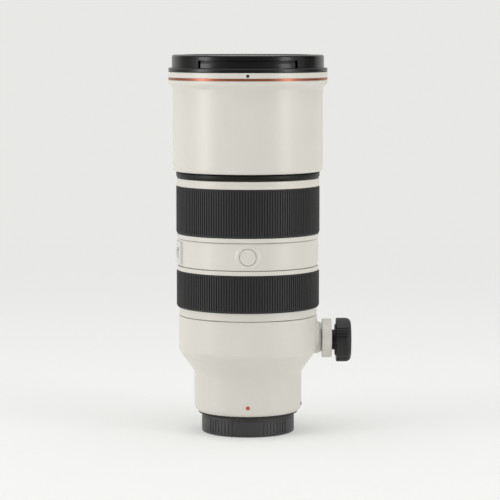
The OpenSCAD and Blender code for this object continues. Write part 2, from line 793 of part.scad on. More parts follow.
module foot_screws() {
    color([0.25, 0.25, 0.26]) for (x = [-foot_screw_x, foot_screw_x], z = [-foot_screw_z, foot_screw_z])
        translate([x, 0, z_pad + z]) rotate([-90, 0, 0]) {
            translate([0, 0, foot_y - foot_screw_depth])
                cylinder(r = foot_screw_r, h = foot_head_y - foot_y + foot_screw_depth);
            translate([0, 0, foot_head_y]) difference() {
                cylinder(r = foot_head_r, h = foot_head_h);
                translate([0, 0, foot_head_h - 1.6]) cylinder(r = 1.6, h = 1.6 + through, $fn = 6);
            }
        }
}

module lock_housing() {
    color([0.83, 0.82, 0.79]) difference() {
        union() {
            translate([0, 0, z_lock_housing]) turned_x([[0, lock_housing_x],
                [lock_housing_r - break_edge, lock_housing_x], [lock_housing_r, lock_housing_x + break_edge],
                [lock_housing_r, lock_face - break_edge], [lock_housing_r - break_edge, lock_face],
                [0, lock_face]]);
            translate([0, 0, z_lock]) turned_x([[0, lock_boss_x - 3], [shoe_r - shaft_gap, lock_boss_x - 3],
                [shoe_r - shaft_gap, lock_boss_x], [lock_neck_r, lock_boss_x],
                [lock_neck_r, lock_housing_x + through], [0, lock_housing_x + through]]);
        }
        translate([0, 0, z_lock]) rotate([0, 90, 0])
            cylinder(r = lock_screw_r + shaft_gap, h = lock_face + through);
    }
}

module lock_knob() {
    end = knob_x + knob_l;
    color([0.1, 0.1, 0.1]) translate([0, 0, z_lock]) difference() {
        turned_x(concat([[0, screw_tip_x], [lock_screw_r, screw_tip_x], [lock_screw_r, lock_face + face_gap],
            [knob_stem_r, lock_face + face_gap], [knob_stem_r, knob_x - hub_l], [knob_hub_r, knob_x - hub_l],
            [knob_hub_r, knob_x], [knob_r - break_edge, knob_x], [knob_r, knob_x + break_edge]],
            rounded([knob_r, knob_x], [knob_r, end - 0.3], [knob_r * 0.56, end], 4.4), [[knob_r * 0.56, end],
            [knob_r * 0.53, end - 0.6], [0, end - 0.6]]));
        for (g = [0:knob_groups - 1], i = [0:knob_grooves - 1])
            rotate([knob_group_azimuth + 360 / knob_groups * g
                + knob_groove_pitch * (i - (knob_grooves - 1) / 2), 0, 0])
                translate([knob_x - through, -knob_r - through, -0.45])
                    cube([knob_l - knob_edge + through, through + 0.6, 0.9]);
    }
}

module clamp_shoe() {
    color([0.75, 0.6, 0.3]) translate([0, 0, z_lock]) difference() {
        rotate([0, 90, 0]) cylinder(r = shoe_r, h = shoe_end);
        translate([0, 0, -2 * shoe_r]) cylinder(r = tube_r + face_gap, h = 4 * shoe_r);
        translate([shoe_bore_x, 0, 0]) rotate([0, 90, 0])
            cylinder(r = lock_screw_r + shaft_gap, h = shoe_end - shoe_bore_x + through);
    }
}

// Main tube, guide tube and zoom drive

module main_tube() {
    color([0.2, 0.2, 0.21]) difference() {
        band(tube_in, tube_r, z_collar, z_guide_top);
        sector(tube_in - through, tube_r + through, z_key - key_r - run_gap, z_key + key_r + run_gap,
            key_azimuth + zoom_turn / 2, zoom_turn / 2 + key_room);
    }
}

module guide_tube() {
    z0 = z_compensator - compensator_travel;
    z1 = z_variator + variator_travel;
    color([0.35, 0.35, 0.37]) difference() {
        union() {
            band(guide_r, guide_out, z_guide, z_guide_top);
            band(guide_r, tube_in - fit_gap, z_guide, z_guide + guide_flange_t);
            band(guide_r, tube_in - fit_gap, z_guide_top - guide_flange_t, z_guide_top);
        }
        for (a = roller_azimuths) radial_block(a, guide_r - through, guide_out + through, (z0 + z1) / 2,
            cam_slot_w, z1 - z0 + cam_slot_w);
    }
}

// A slot that leads a roller from height z by travel as the barrel makes the whole zoom turn
module cam_slot(azimuth, z, travel) {
    mid_r = (cam_in + cam_out) / 2;
    slope = atan(travel / (mid_r * zoom_turn * PI / 180));
    step = (zoom_turn + 2 * cam_over) / cam_parts;
    part_l = mid_r * step * PI / 180 / cos(slope);
    for (i = [0:cam_parts - 1]) {
        turn = (i + 0.5) * step - cam_over;
        rotate([0, 0, azimuth - turn]) translate([mid_r, 0, z + travel * turn / zoom_turn])
            rotate([-slope, 0, 0]) cube([cam_wall + 2 * through, part_l + 1.5, cam_slot_w], center = true);
    }
}

module cam_barrel() {
    color([0.55, 0.55, 0.58]) difference() {
        band(cam_in, cam_out, z_cam, z_cam + cam_h);
        for (a = roller_azimuths) {
            cam_slot(a, z_variator, variator_travel);
            cam_slot(a, z_compensator, -compensator_travel);
        }
        radial_pin(key_azimuth, cam_in - through, cam_out + through, z_key, key_r + shaft_gap);
    }
}

module zoom_ring() {
    color([0.83, 0.82, 0.79]) difference() {
        ring_core(z_zoom, z_zoom_grip, z_zoom_grip_top, z_zoom_top, zoom_low_r, zoom_high_r,
            zoom_grip_r - grip_t);
        radial_pin(key_azimuth, ring_in - through, ring_in + 3, z_key, key_r + shaft_gap);
    }
}

module zoom_grip() {
    color([0.13, 0.13, 0.13])
        grip(zoom_grip_r, z_zoom_grip + fit_gap / 2, z_zoom_grip_top - fit_gap / 2,
            zoom_grip_r - grip_fall);
}

module zoom_key() {
    color([0.6, 0.6, 0.62]) radial_pin(key_azimuth, cam_in + fit_gap, ring_in + 2.9, z_key, key_r);
}

// A cell that slides in the guide tube on three rollers
module zoom_cell(z, h) {
    color([0.07, 0.07, 0.08]) difference() {
        band(zoom_glass_r + fit_gap / 2, guide_r - run_gap, z - h / 2, z + h / 2);
        for (a = roller_azimuths)
            radial_pin(a, guide_r - run_gap - 2.6, guide_r, z, roller_r + shaft_gap);
    }
}

module zoom_rollers(z) {
    color([0.75, 0.6, 0.3]) for (a = roller_azimuths)
        radial_pin(a, guide_r - run_gap - 2.5, cam_out - run_gap, z, roller_r);
}

module variator_cell() {
    zoom_cell(z_variator, variator_h);
}

module variator_glass() {
    h = variator_h;
    color([0.7, 0.8, 0.85, 0.5]) {
        lens(zoom_glass_r, z_variator - h * 0.44, z_variator + h * 0.06, -5.5, -5.5);
        lens(zoom_glass_r, z_variator + h * 0.14, z_variator + h * 0.34, 0, 4.5);
    }
}

module variator_rollers() {
    zoom_rollers(z_variator);
}

module compensator_cell() {
    zoom_cell(z_compensator, compensator_h);
}

module compensator_glass() {
    h = compensator_h;
    color([0.7, 0.8, 0.85, 0.5]) {
        lens(zoom_glass_r, z_compensator - h * 0.2, z_compensator + h * 0.2, 6, 6);
    }
}

module compensator_rollers() {
    zoom_rollers(z_compensator);
}

// Iris and stabiliser

module iris_housing() {
    r = guide_r - fit_gap;
    color([0.07, 0.07, 0.08]) turned([[iris_r, z_iris], [r, z_iris], [r, z_iris + iris_h],
        [r - iris_wall, z_iris + iris_h], [r - iris_wall, z_iris + iris_plate_t],
        [iris_r, z_iris + iris_plate_t]]);
}

module iris_blades() {
    foot = z_iris + iris_plate_t;
    inner = iris_r + 0.5;
    pin_pcr = inner + blade_w + 1.4;
    color([0.12, 0.12, 0.13]) for (i = [0:iris_blades_n - 1]) rotate([0, 0, 360 / iris_blades_n * i]) {
        z = foot + blade_step * (i + 1);
        sector(inner, inner + blade_w, z, z + blade_t, blade_angle / 2, blade_angle / 2);
        translate([inner + blade_w - 1, 0, z]) cube([2.4, 2.4, blade_t]);
        translate([pin_pcr, 1.2, foot]) cylinder(r = blade_pin_r, h = z + blade_t - foot);
    }
}

module stabiliser_base() {
    color([0.2, 0.2, 0.21]) {
        band(stabiliser_glass_r + 2, tube_in - fit_gap, z_stabiliser, z_stabiliser + stabiliser_base_t);
        for (y = [-base_post_y, base_post_y]) translate([0, y, z_stabiliser])
            cylinder(r = stabiliser_post_r, h = z_holder - z_stabiliser - stabiliser_gap - 0.1);
    }
}

// A straight slot for a guide post, with room for the travel along x
module post_slot(h) {
    w = stabiliser_post_r + stabiliser_post_gap;
    l = stabiliser_post_r + stabiliser_travel + run_gap;
    translate([-l, -w, -through]) cube([2 * l, 2 * w, h + 2 * through]);
}

module stabiliser_frame() {
    color([0.3, 0.3, 0.32]) {
        difference() {
            band(stabiliser_glass_r + 2, stabiliser_frame_r, z_frame, z_frame + stabiliser_plate_t);
            for (y = [-base_post_y, base_post_y]) translate([0, y, z_frame]) post_slot(stabiliser_plate_t);
        }
        for (x = [-frame_post_x, frame_post_x]) translate([x, 0, z_frame])
            cylinder(r = stabiliser_post_r, h = z_holder - z_frame + stabiliser_cell_t - 0.5);
    }
}

module stabiliser_cell() {
    color([0.07, 0.07, 0.08]) difference() {
        band(stabiliser_glass_r + fit_gap / 2, stabiliser_cell_r, z_holder, z_holder + stabiliser_cell_t);
        for (x = [-frame_post_x, frame_post_x]) translate([x, 0, z_holder]) rotate([0, 0, 90])
            post_slot(stabiliser_cell_t);
    }
}

module stabiliser_glass() {
    t = stabiliser_cell_t;
    color([0.7, 0.8, 0.85, 0.5]) {
        lens(stabiliser_glass_r, z_holder + t * 0.2, z_holder + t * 0.88, 5.4, 5.4);
    }
}

// Switch housing, switches and buttons

module switch_housing() {
    relief = housing_r - housing_wall;
    wall = 2.2;
    color([0.83, 0.82, 0.79]) difference() {
        union() {
            turned([[seat_in, z_housing], [housing_r - break_edge, z_housing],
                [housing_r, z_housing + break_edge], [housing_r, z_housing_top - break_edge],
                [housing_r - break_edge, z_housing_top], [seat_in, z_housing_top],
                [seat_in, z_housing_top - wall], [relief, z_housing_top - wall],
                [relief, z_housing + wall], [seat_in, z_housing + wall]]);
            for (a = [0, 270]) rotate([0, 0, a]) translate([0, 0, z_switch]) turned_x([[0, button_seat],
                [button_pad_r, button_seat], [button_pad_r, housing_r - pad_foot],
                [button_pad_r + pad_slope / 2, housing_r - pad_foot],
                [button_pad_r - pad_slope / 2, housing_r + pad_rise], [0, housing_r + pad_rise]]);
        }
        for (a = [0, 270])
            radial_pin(a, button_seat - through, housing_r + 2 * through, z_switch, button_r + button_gap);
        for (i = [-1:1]) radial_block(180 + switch_step * i, relief - through, housing_r + through, z_switch,
            switch_w + 2 * switch_gap, switch_window_l);
    }
}

module function_button(azimuth) {
    face = housing_r + pad_rise + button_rise;
    back = button_seat - run_gap;
    color([0.83, 0.82, 0.79]) difference() {
        rotate([0, 0, azimuth]) translate([0, 0, z_switch]) turned_x([[0, back - button_flange_t],
            [button_flange_r, back - button_flange_t], [button_flange_r, back], [button_r, back],
            [button_r, face - break_edge], [button_r - break_edge, face], [0, face]]);
        rotate([0, 0, azimuth]) translate([face + button_dish_r - 0.2, 0, z_switch])
            sphere(r = button_dish_r);
    }
}

module function_button_top() {
    function_button(270);
}

module function_button_side() {
    function_button(0);
}

module switch_panel() {
    r1 = panel_r + panel_t;
    z0 = z_switch - panel_h / 2;
    z1 = z_switch + panel_h / 2;
    color([0.78, 0.77, 0.74]) difference() {
        intersection() {
            rotate([0, 0, 180 - panel_angle / 2 - panel_slope])
                rotate_extrude(angle = panel_angle + 2 * panel_slope) polygon([[panel_r, z0],
                    [r1 - break_edge, z0], [r1, z0 + break_edge], [r1, z1 - break_edge],
                    [r1 - break_edge, z1], [panel_r, z1]]);
            translate([0, 0, z0 - through]) linear_extrude(panel_h + 2 * through) polygon([[0, 0],
                polar(panel_r, 180 - panel_angle / 2 - panel_slope), polar(r1, 180 - panel_angle / 2),
                polar(r1 * 1.2, 180), polar(r1, 180 + panel_angle / 2),
                polar(panel_r, 180 + panel_angle / 2 + panel_slope)]);
        }
        for (i = [-1:1]) radial_block(180 + switch_step * i, panel_r - through, r1 + through, z_switch,
            switch_w + 2 * switch_gap, switch_window_l);
    }
}

module slide_switch(azimuth) {
    top = panel_r + panel_t + switch_rise;
    z = z_switch - switch_travel / 2;
    color([0.15, 0.15, 0.16]) difference() {
        union() {
            radial_block(azimuth, switch_base + 1, top, z, switch_w, switch_l);
            radial_block(azimuth, switch_base, switch_base + 1, z, switch_w + 2, switch_l + 2);
        }
        for (i = [-1:1])
            radial_block(azimuth, top - 0.5, top + through, z + i * switch_l / 4, switch_w + through, 0.6);
    }
}

module focus_mode_switch() {
    slide_switch(180 + switch_step);
}

module focus_range_switch() {
    slide_switch(180);
}

module stabiliser_switch() {
    slide_switch(180 - switch_step);
}

// Focus and control rings

module focus_ring() {
    color([0.83, 0.82, 0.79]) ring_core(z_focus, z_focus_grip, z_focus_grip_top, z_focus_top, focus_low_r,
        focus_high_r, focus_grip_r - grip_t);
}

module focus_grip() {
    color([0.13, 0.13, 0.13])
        grip(focus_grip_r, z_focus_grip + fit_gap / 2, z_focus_grip_top - fit_gap / 2,
            focus_grip_r - grip_fall);
}

module control_ring() {
    color([0.09, 0.09, 0.08]) turned(concat([[ring_in, z_control]],
        rounded([ring_in, z_control], [control_r, z_control], [control_r, z_control_top], 1.9),
        [[control_r, z_control_top - break_edge], [control_r - break_edge, z_control_top],
        [ring_in, z_control_top]]));
}

// Front barrel, focus group and front group

module front_barrel() {
    color([0.83, 0.82, 0.79]) turned(concat([[seat_in, z_front]],
        rounded([seat_in, z_front], [front_r, z_front], [front_r, z_flare], 3.2),
        rounded([front_r, z_front], [front_r, z_flare], [rim_r, z_red - flare_rim], 1.4),
        rounded([front_r, z_flare], [rim_r, z_red - flare_rim], [rim_r, z_red], 1.4),
        [[rim_r, z_red - break_edge], [rim_r - break_edge / 2, z_red], [front_in, z_red], [front_in, z_rods],
        [seat_in, z_rods]]));
}

module focus_rods() {
    color([0.7, 0.7, 0.72]) for (a = rod_azimuths)
        rotate([0, 0, a]) translate([rod_pcr, 0, z_rods]) cylinder(r = rod_r, h = rods_l);
}

module focus_motors() {
    color([0.3, 0.3, 0.32]) for (a = motor_azimuths) difference() {
        radial_block(a, focus_cell_r, front_in - 2, z_rods + motor_h / 2, motor_w, motor_h);
        translate([0, 0, z_rods - through]) cylinder(r = focus_cell_r + run_gap, h = motor_h + 2 * through);
    }
}

module focus_cell() {
    z0 = z_focus_cell - focus_cell_h / 2;
    color([0.07, 0.07, 0.08]) difference() {
        union() {
            translate([0, 0, z0]) cylinder(r = focus_cell_r, h = focus_cell_h);
            for (a = rod_azimuths) rotate([0, 0, a]) translate([rod_pcr, 0, z0])
                cylinder(r = rod_r + 2.4, h = focus_cell_h);
        }
        translate([0, 0, z0 - through])
            cylinder(r = focus_glass_r + fit_gap / 2, h = focus_cell_h + 2 * through);
        for (a = rod_azimuths) rotate([0, 0, a]) translate([rod_pcr, 0, z0 - through])
            cylinder(r = rod_r + shaft_gap, h = focus_cell_h + 2 * through);
    }
}

module focus_glass() {
    h = focus_cell_h;
    color([0.7, 0.8, 0.85, 0.5]) {
        lens(focus_glass_r, z_focus_cell - h * 0.25, z_focus_cell + h * 0.25, 6.6, 6.6);
    }
}

module front_cell() {
    bore = front_glass_r + fit_gap / 2;
    lip = front_glass_r - 1.5;
    color([0.07, 0.07, 0.08]) turned([[focus_glass_r + 2, z_front_cell], [front_cell_r, z_front_cell],
        [front_cell_r, z_front_cell_top], [lip, z_front_cell_top], [lip, z_front_cell_top - front_lip_t],
        [bore, z_front_cell_top - front_lip_t], [bore, z_front_cell + 2.5],
        [focus_glass_r + 2, z_front_cell + 2.5]]);
}

module front_glass() {
    z = z_front_cell_top - front_lip_t;
    h = z - z_front_cell;
    color([0.7, 0.8, 0.85, 0.5]) {
        lens(front_glass_r, z - h * 0.18, z - h * 0.024, -9.8, 3.75);
        lens(front_glass_r, z - h * 0.45, z - h * 0.28, 5.1, 5.1);
        lens(front_glass_r, z - h * 0.86, z - h * 0.64, -8.2, -11.8);
    }
}

module red_ring() {
    color([0.7, 0.14, 0.1]) band(front_in, rim_r, z_red + fit_gap / 2, z_hood - fit_gap / 2);
}

module hood_ring() {
    sleeve = front_in - fit_gap;
    foot = z_red - hood_sleeve_h;
    color([0.83, 0.82, 0.79]) turned(concat([[hood_in, foot], [sleeve, foot], [sleeve, z_hood],
        [rim_r - break_edge / 2, z_hood], [rim_r, z_hood + break_edge]],
        rounded([rim_r, z_hood], [rim_r, z_filter], [hood_in, z_filter], hood_round), [[hood_in, z_filter]]));
}

module filter_ring() {
    teeth = floor((filter_h - 0.4) / thread_pitch);
    color([0.06, 0.06, 0.06]) turned(concat([[thread_r, z_filter + fit_gap / 2], [filter_r - break_edge,
        z_filter + fit_gap / 2], [filter_r, z_filter + break_edge], [filter_r, z_cap - break_edge],
        [filter_r - break_edge, z_cap], [thread_r, z_cap]],
        [for (i = [0:teeth - 1]) each [[thread_r, z_cap - 0.2 - thread_pitch * i],
            [thread_r + thread_tooth, z_cap - 0.2 - thread_pitch * (i + 0.5)]]]));
}

// Front cap with its two pinch latches

module front_cap() {
    under = z_cap_top - cap_t;
    foot = z_cap + face_gap;
    rib_z = z_cap + tongue_lift;
    color([0.08, 0.08, 0.09]) difference() {
        union() {
            turned(concat([[0, under], [cap_in, under], [cap_in, foot], [cap_r, foot]],
                rounded([cap_r, z_cap], [cap_r, z_cap_top], [0, z_cap_top], 2),
                [[cap_r - cap_border, z_cap_top], [cap_r - cap_border - cap_dish, z_cap_top - cap_dish],
                [0, z_cap_top - cap_dish]]));
            for (a = [0, 180]) sector(plug_r - 2.2, plug_r, z_cap - cap_plug, under, a, plug_half);
            for (s = [-1, 1], t = [-1, 1])
                translate([s * (tongue_w / 2 + run_gap + 1) - 1, t * cap_r * 0.58 - cap_r * 0.25, rib_z])
                    cube([2, cap_r * 0.5, under - rib_z + fit_gap]);
        }
        for (a = [90, 270])
            sector(cap_in - tab_depth, cap_r + through, z_cap - through, z_window_top, a, window_half);
    }
}

// A latch is made at azimuth 0 and turned to its place
module front_cap_latch(azimuth) {
    tab_in = cap_r - tab_recess - tab_depth;
    tab_out = cap_r - tab_recess;
    z0 = z_cap + run_gap;
    z1 = z_window_top - latch_gap;
    lip = z_cap_top - cap_t - run_gap;
    color([0.1, 0.1, 0.11]) rotate([0, 0, azimuth]) {
        rotate([0, 0, -latch_half]) rotate_extrude(angle = 2 * latch_half)
            polygon([[tab_in, z0], [tab_out, z0], [tab_out, z1 - latch_slope_h],
                [tab_out - latch_slope_w, z1], [tab_in + latch_lip, z1], [tab_in + latch_lip, lip],
                [tab_in, lip]]);
        sector(tab_in, plug_r, z_cap - cap_plug, z0 + fit_gap, 0, tooth_half);
        translate([tab_out - latch_edge - tongue_l, -tongue_w / 2, z_cap + tongue_lift])
            cube([tongue_l - tab_depth + 2, tongue_w, tongue_t]);
    }
}

module front_cap_latch_top() {
    front_cap_latch(270);
}

module front_cap_latch_bottom() {
    front_cap_latch(90);
}

rear_cap();
bayonet_mount();
mount_screws();
contact_block();
contact_pins();
mount_gasket();
rear_barrel();
mount_index_dot();
barrel_screws();
rear_cell();
rear_glass();
circuit_board();
tripod_collar();
tripod_foot();
foot_screws();
lock_housing();
lock_knob();
clamp_shoe();
main_tube();
guide_tube();
cam_barrel();
zoom_ring();
zoom_grip();
zoom_key();
variator_cell();
variator_glass();
variator_rollers();
compensator_cell();
compensator_glass();
compensator_rollers();
iris_housing();
iris_blades();
stabiliser_base();
stabiliser_frame();
stabiliser_cell();
stabiliser_glass();
switch_housing();
switch_panel();
focus_mode_switch();
focus_range_switch();
stabiliser_switch();
function_button_top();
function_button_side();
focus_ring();
focus_grip();
control_ring();
front_barrel();
focus_rods();
focus_motors();
focus_cell();
focus_glass();
front_cell();
front_glass();
red_ring();
hood_ring();
filter_ring();
front_cap();
front_cap_latch_top();
front_cap_latch_bottom();
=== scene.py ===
import json
import math

import bpy
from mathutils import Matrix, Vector


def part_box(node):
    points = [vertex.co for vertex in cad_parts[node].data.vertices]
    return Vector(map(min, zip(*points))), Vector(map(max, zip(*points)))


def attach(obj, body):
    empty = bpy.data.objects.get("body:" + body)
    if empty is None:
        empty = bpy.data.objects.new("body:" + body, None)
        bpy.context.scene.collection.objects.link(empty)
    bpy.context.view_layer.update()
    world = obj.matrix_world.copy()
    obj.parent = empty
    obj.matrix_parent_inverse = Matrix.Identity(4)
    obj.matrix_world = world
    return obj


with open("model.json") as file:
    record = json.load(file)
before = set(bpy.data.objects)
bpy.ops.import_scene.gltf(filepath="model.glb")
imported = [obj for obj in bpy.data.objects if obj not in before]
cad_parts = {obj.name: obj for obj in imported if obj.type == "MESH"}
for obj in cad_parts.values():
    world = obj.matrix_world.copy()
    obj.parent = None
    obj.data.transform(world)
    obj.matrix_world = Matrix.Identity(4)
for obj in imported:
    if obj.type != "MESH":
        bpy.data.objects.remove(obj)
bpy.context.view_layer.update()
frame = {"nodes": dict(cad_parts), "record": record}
cadNodes = frame["nodes"]
scene = bpy.context.scene
print("frame loaded:", len(cadNodes), "nodes")

# Camera: a long lens, level with the front cap and looking slightly down

viewpoint = {
    "place": (0.00159, -1.745, 0.306),
    "pitchDown": 5.474,
    "focal": 165.53,
    "sensor": 36.0,
}


def makeCamera():
    camData = bpy.data.cameras.new("studioCamera")
    camData.sensor_fit = "HORIZONTAL"
    camData.sensor_width = viewpoint["sensor"]
    camData.lens = viewpoint["focal"]
    camData.clip_start = 0.05
    camData.clip_end = 60.0
    cam = bpy.data.objects.new("studioCamera", camData)
    cam.location = viewpoint["place"]
    cam.rotation_euler = (math.radians(90.0 - viewpoint["pitchDown"]), 0.0, 0.0)
    scene.collection.objects.link(cam)
    scene.camera = cam


makeCamera()
scene.view_settings.view_transform = "Standard"
print("camera set")

# Studio: soft boxes at both sides, one overhead, and a pale sweep

studio = {
    "softBoxes": (
        # name, place, aim, width, height, power
        ("leftBox", (-1.52, -0.62, 0.44), (0.0, 0.0, 0.15), 0.55, 1.00, 9.5),
        ("rightBox", (1.36, -0.86, 0.44), (0.0, 0.0, 0.15), 0.45, 1.00, 7.3),
        ("topBox", (0.0, -0.20, 2.30), (0.0, 0.0, 0.0), 2.20, 2.20, 17.0),
    ),
    "skyColor": (0.97, 0.97, 0.96),
    "skyStrength": 0.86,
    "darkSide": 0.22,  # sky strength behind the camera
    "darkFrom": -0.95,  # depth of a sky direction where the dark side ends
    "darkTo": -0.35,
    "leftFlag": 0.55,  # share of the sky that each flag takes away
    "rightFlag": 0.95,
    "flagBlend": 0.2,  # half width of the change from one flag to the other
    "flagFrom": 0.0,  # depth of the flags, and their soft edges
    "flagTo": 0.66,
    "flagFront": 0.13,
    "flagBack": 0.15,
    "flagTopFrom": 0.35,  # height where the flags end
    "flagTopTo": 0.70,
    "seenColor": (0.81, 0.81, 0.79),
    "floorColor": (0.93, 0.93, 0.92),
    "floorRough": 0.85,
    "floorSpecular": 0.2,
    "floorReach": 4.5,
    "sweepStart": 2.4,
    "sweepRadius": 1.2,
    "sweepSteps": 14,
    "sweepTop": 4.0,
    "fadeFrom": 0.15,  # distance behind the lens where the floor starts to turn plain
    "fadeTo": 1.60,
    "fadeBase": 0.40,  # share of the plain colour next to the lens
    "fadeAside": 0.30,  # to the sides and the front the fade starts later
    "fadeSteep": 2.2,  # and is this much shorter
}


def makeLights():
    for name, place, aim, width, height, power in studio["softBoxes"]:
        lightData = bpy.data.lights.new(name, "AREA")
        lightData.shape = "RECTANGLE"
        lightData.size = width
        lightData.size_y = height
        lightData.energy = power
        lamp = bpy.data.objects.new(name, lightData)
        lamp.location = place
        direction = Vector(aim) - Vector(place)
        lamp.rotation_euler = direction.to_track_quat("-Z", "Y").to_euler()
        scene.collection.objects.link(lamp)


# sets a socket to a number, or links it
def feed(tree, socket, value):
    if isinstance(value, (int, float)):
        socket.default_value = value
    else:
        tree.links.new(value, socket)


def mathNode(tree, operation, a, b=None):
    node = tree.nodes.new("ShaderNodeMath")
    node.operation = operation
    feed(tree, node.inputs[0], a)
    if b is not None:
        feed(tree, node.inputs[1], b)
    return node.outputs[0]


def rangeNode(tree, value, start, end, low=0.0, high=1.0, smooth=False):
    span = tree.nodes.new("ShaderNodeMapRange")
    if smooth:
        span.interpolation_type = "SMOOTHSTEP"
    feed(tree, span.inputs["Value"], value)
    feed(tree, span.inputs["From Min"], start)
    feed(tree, span.inputs["From Max"], end)
    feed(tree, span.inputs["To Min"], low)
    feed(tree, span.inputs["To Max"], high)
    return span.outputs[0]


def splitNode(tree, coordinates):
    split = tree.nodes.new("ShaderNodeSeparateXYZ")
    tree.links.new(tree.nodes.new("ShaderNodeTexCoord").outputs[coordinates], split.inputs[0])
    return split.outputs


def plainRay(tree, glossy):
    path = tree.nodes.new("ShaderNodeLightPath")
    seen = mathNode(tree, "MAXIMUM", path.outputs["Is Camera Ray"], path.outputs["Is Transmission Ray"])
    if glossy:
        seen = mathNode(tree, "MAXIMUM", seen, path.outputs["Is Glossy Ray"])
    return seen


def makeWorld():
    world = bpy.data.worlds.new("studioWorld")
    scene.world = world
    world.use_nodes = True
    tree = world.node_tree
    nodes = tree.nodes
    links = tree.links
    nodes.clear()
    out = nodes.new("ShaderNodeOutputWorld")
    lit = nodes.new("ShaderNodeBackground")
    lit.inputs["Color"].default_value = (*studio["skyColor"], 1.0)
    # the room is darker on the camera's side
    ray = splitNode(tree, "Generated")
    sky = rangeNode(
        tree, ray["Y"], studio["darkFrom"], studio["darkTo"], studio["darkSide"], studio["skyStrength"],
        smooth=True)
    # two dark flags stand just behind the lens, the right one deeper
    blend = studio["flagBlend"]
    depth = rangeNode(tree, ray["X"], -blend, blend, studio["leftFlag"], studio["rightFlag"], smooth=True)
    flag = nodes.new("ShaderNodeValToRGB")
    flag.color_ramp.interpolation = "EASE"
    flag.color_ramp.elements[0].position = studio["flagFrom"]
    flag.color_ramp.elements[0].color = (0.0, 0.0, 0.0, 1.0)
    flag.color_ramp.elements[1].position = studio["flagTo"]
    flag.color_ramp.elements[1].color = (0.0, 0.0, 0.0, 1.0)
    for place in (studio["flagFrom"] + studio["flagFront"], studio["flagTo"] - studio["flagBack"]):
        flag.color_ramp.elements.new(place).color = (1.0, 1.0, 1.0, 1.0)
    links.new(ray["Y"], flag.inputs["Fac"])
    low = rangeNode(tree, ray["Z"], studio["flagTopFrom"], studio["flagTopTo"], 1.0, 0.0, smooth=True)
    depth = mathNode(tree, "MULTIPLY", depth, flag.outputs["Color"])
    depth = mathNode(tree, "MULTIPLY", depth, low)
    keep = mathNode(tree, "SUBTRACT", 1.0, depth)
    links.new(mathNode(tree, "MULTIPLY", sky, keep), lit.inputs["Strength"])
    seen = nodes.new("ShaderNodeBackground")
    seen.inputs["Color"].default_value = (*studio["seenColor"], 1.0)
    seen.inputs["Strength"].default_value = 1.0
    mix = nodes.new("ShaderNodeMixShader")
    links.new(plainRay(tree, False), mix.inputs[0])
    links.new(lit.outputs[0], mix.inputs[1])
    links.new(seen.outputs[0], mix.inputs[2])
    links.new(mix.outputs[0], out.inputs["Surface"])


def deselectAll():
    if bpy.context.object and bpy.context.object.mode != "OBJECT":
        bpy.ops.object.mode_set(mode="OBJECT")
    bpy.ops.object.select_all(action="DESELECT")


def makeSweep():
    deselectAll()
    reach = studio["floorReach"]
    start = studio["sweepStart"]
    bpy.ops.mesh.primitive_plane_add(size=1.0, location=(0.0, 0.0, 0.0))
    floor = bpy.context.object
    floor.name = "studioSweep"
    floor.scale = (2 * reach, reach + start, 1.0)
    floor.location = (0.0, (start - reach) / 2, 0.0)
    bpy.ops.object.transform_apply(location=True, rotation=True, scale=True)
    bpy.ops.object.mode_set(mode="EDIT")
    bpy.ops.mesh.select_all(action="DESELECT")
    bpy.ops.object.mode_set(mode="OBJECT")
    for edge in floor.data.edges:
        ends = [floor.data.vertices[i].co.y for i in edge.vertices]
        edge.select = min(ends) > 0.0
    bpy.ops.object.mode_set(mode="EDIT")
    bpy.ops.mesh.select_mode(type="EDGE")
    steps = studio["sweepSteps"]
    radius = studio["sweepRadius"]
    for i in range(steps):
        a0 = math.pi / 2 * i / steps
        a1 = math.pi / 2 * (i + 1) / steps
        step = (0.0, radius * (math.sin(a1) - math.sin(a0)), radius * (math.cos(a0) - math.cos(a1)))
        bpy.ops.mesh.extrude_region_move(TRANSFORM_OT_translate={"value": step})
    bpy.ops.mesh.extrude_region_move(TRANSFORM_OT_translate={"value": (0.0, 0.0, studio["sweepTop"])})
    bpy.ops.mesh.select_all(action="SELECT")
    bpy.ops.mesh.normals_make_consistent(inside=False)
    bpy.ops.object.mode_set(mode="OBJECT")
    bpy.ops.object.shade_smooth()
    mat = bpy.data.materials.new("paleSweep")
    mat.use_nodes = True
    tree = mat.node_tree
    bsdf = tree.nodes["Principled BSDF"]
    bsdf.inputs["Base Color"].default_value = (*studio["floorColor"], 1.0)
    bsdf.inputs["Roughness"].default_value = studio["floorRough"]
    bsdf.inputs["Specular IOR Level"].default_value = studio["floorSpecular"]
    # far from the lens the sweep is seen as one plain colour
    plain = tree.nodes.new("ShaderNodeEmission")
    plain.inputs["Color"].default_value = (*studio["seenColor"], 1.0)
    spot = splitNode(tree, "Object")
    ahead = mathNode(tree, "MULTIPLY", spot["Y"], -1.0)
    aside = mathNode(tree, "MAXIMUM", mathNode(tree, "ABSOLUTE", spot["X"]), ahead)
    aside = mathNode(tree, "SUBTRACT", aside, studio["fadeAside"])
    aside = mathNode(tree, "MULTIPLY", aside, studio["fadeSteep"])
    far = mathNode(tree, "MAXIMUM", spot["Y"], aside)
    fade = rangeNode(tree, far, studio["fadeFrom"], studio["fadeTo"], studio["fadeBase"], 1.0, smooth=True)
    share = mathNode(tree, "MULTIPLY", plainRay(tree, True), fade)
    mix = tree.nodes.new("ShaderNodeMixShader")
    tree.links.new(share, mix.inputs[0])
    tree.links.new(bsdf.outputs[0], mix.inputs[1])
    tree.links.new(plain.outputs[0], mix.inputs[2])
    tree.links.new(mix.outputs[0], tree.nodes["Material Output"].inputs["Surface"])
    floor.data.materials.append(mat)


makeLights()
makeWorld()
makeSweep()
print("studio built")

# Shared surface effects, each a node group with its own inputs


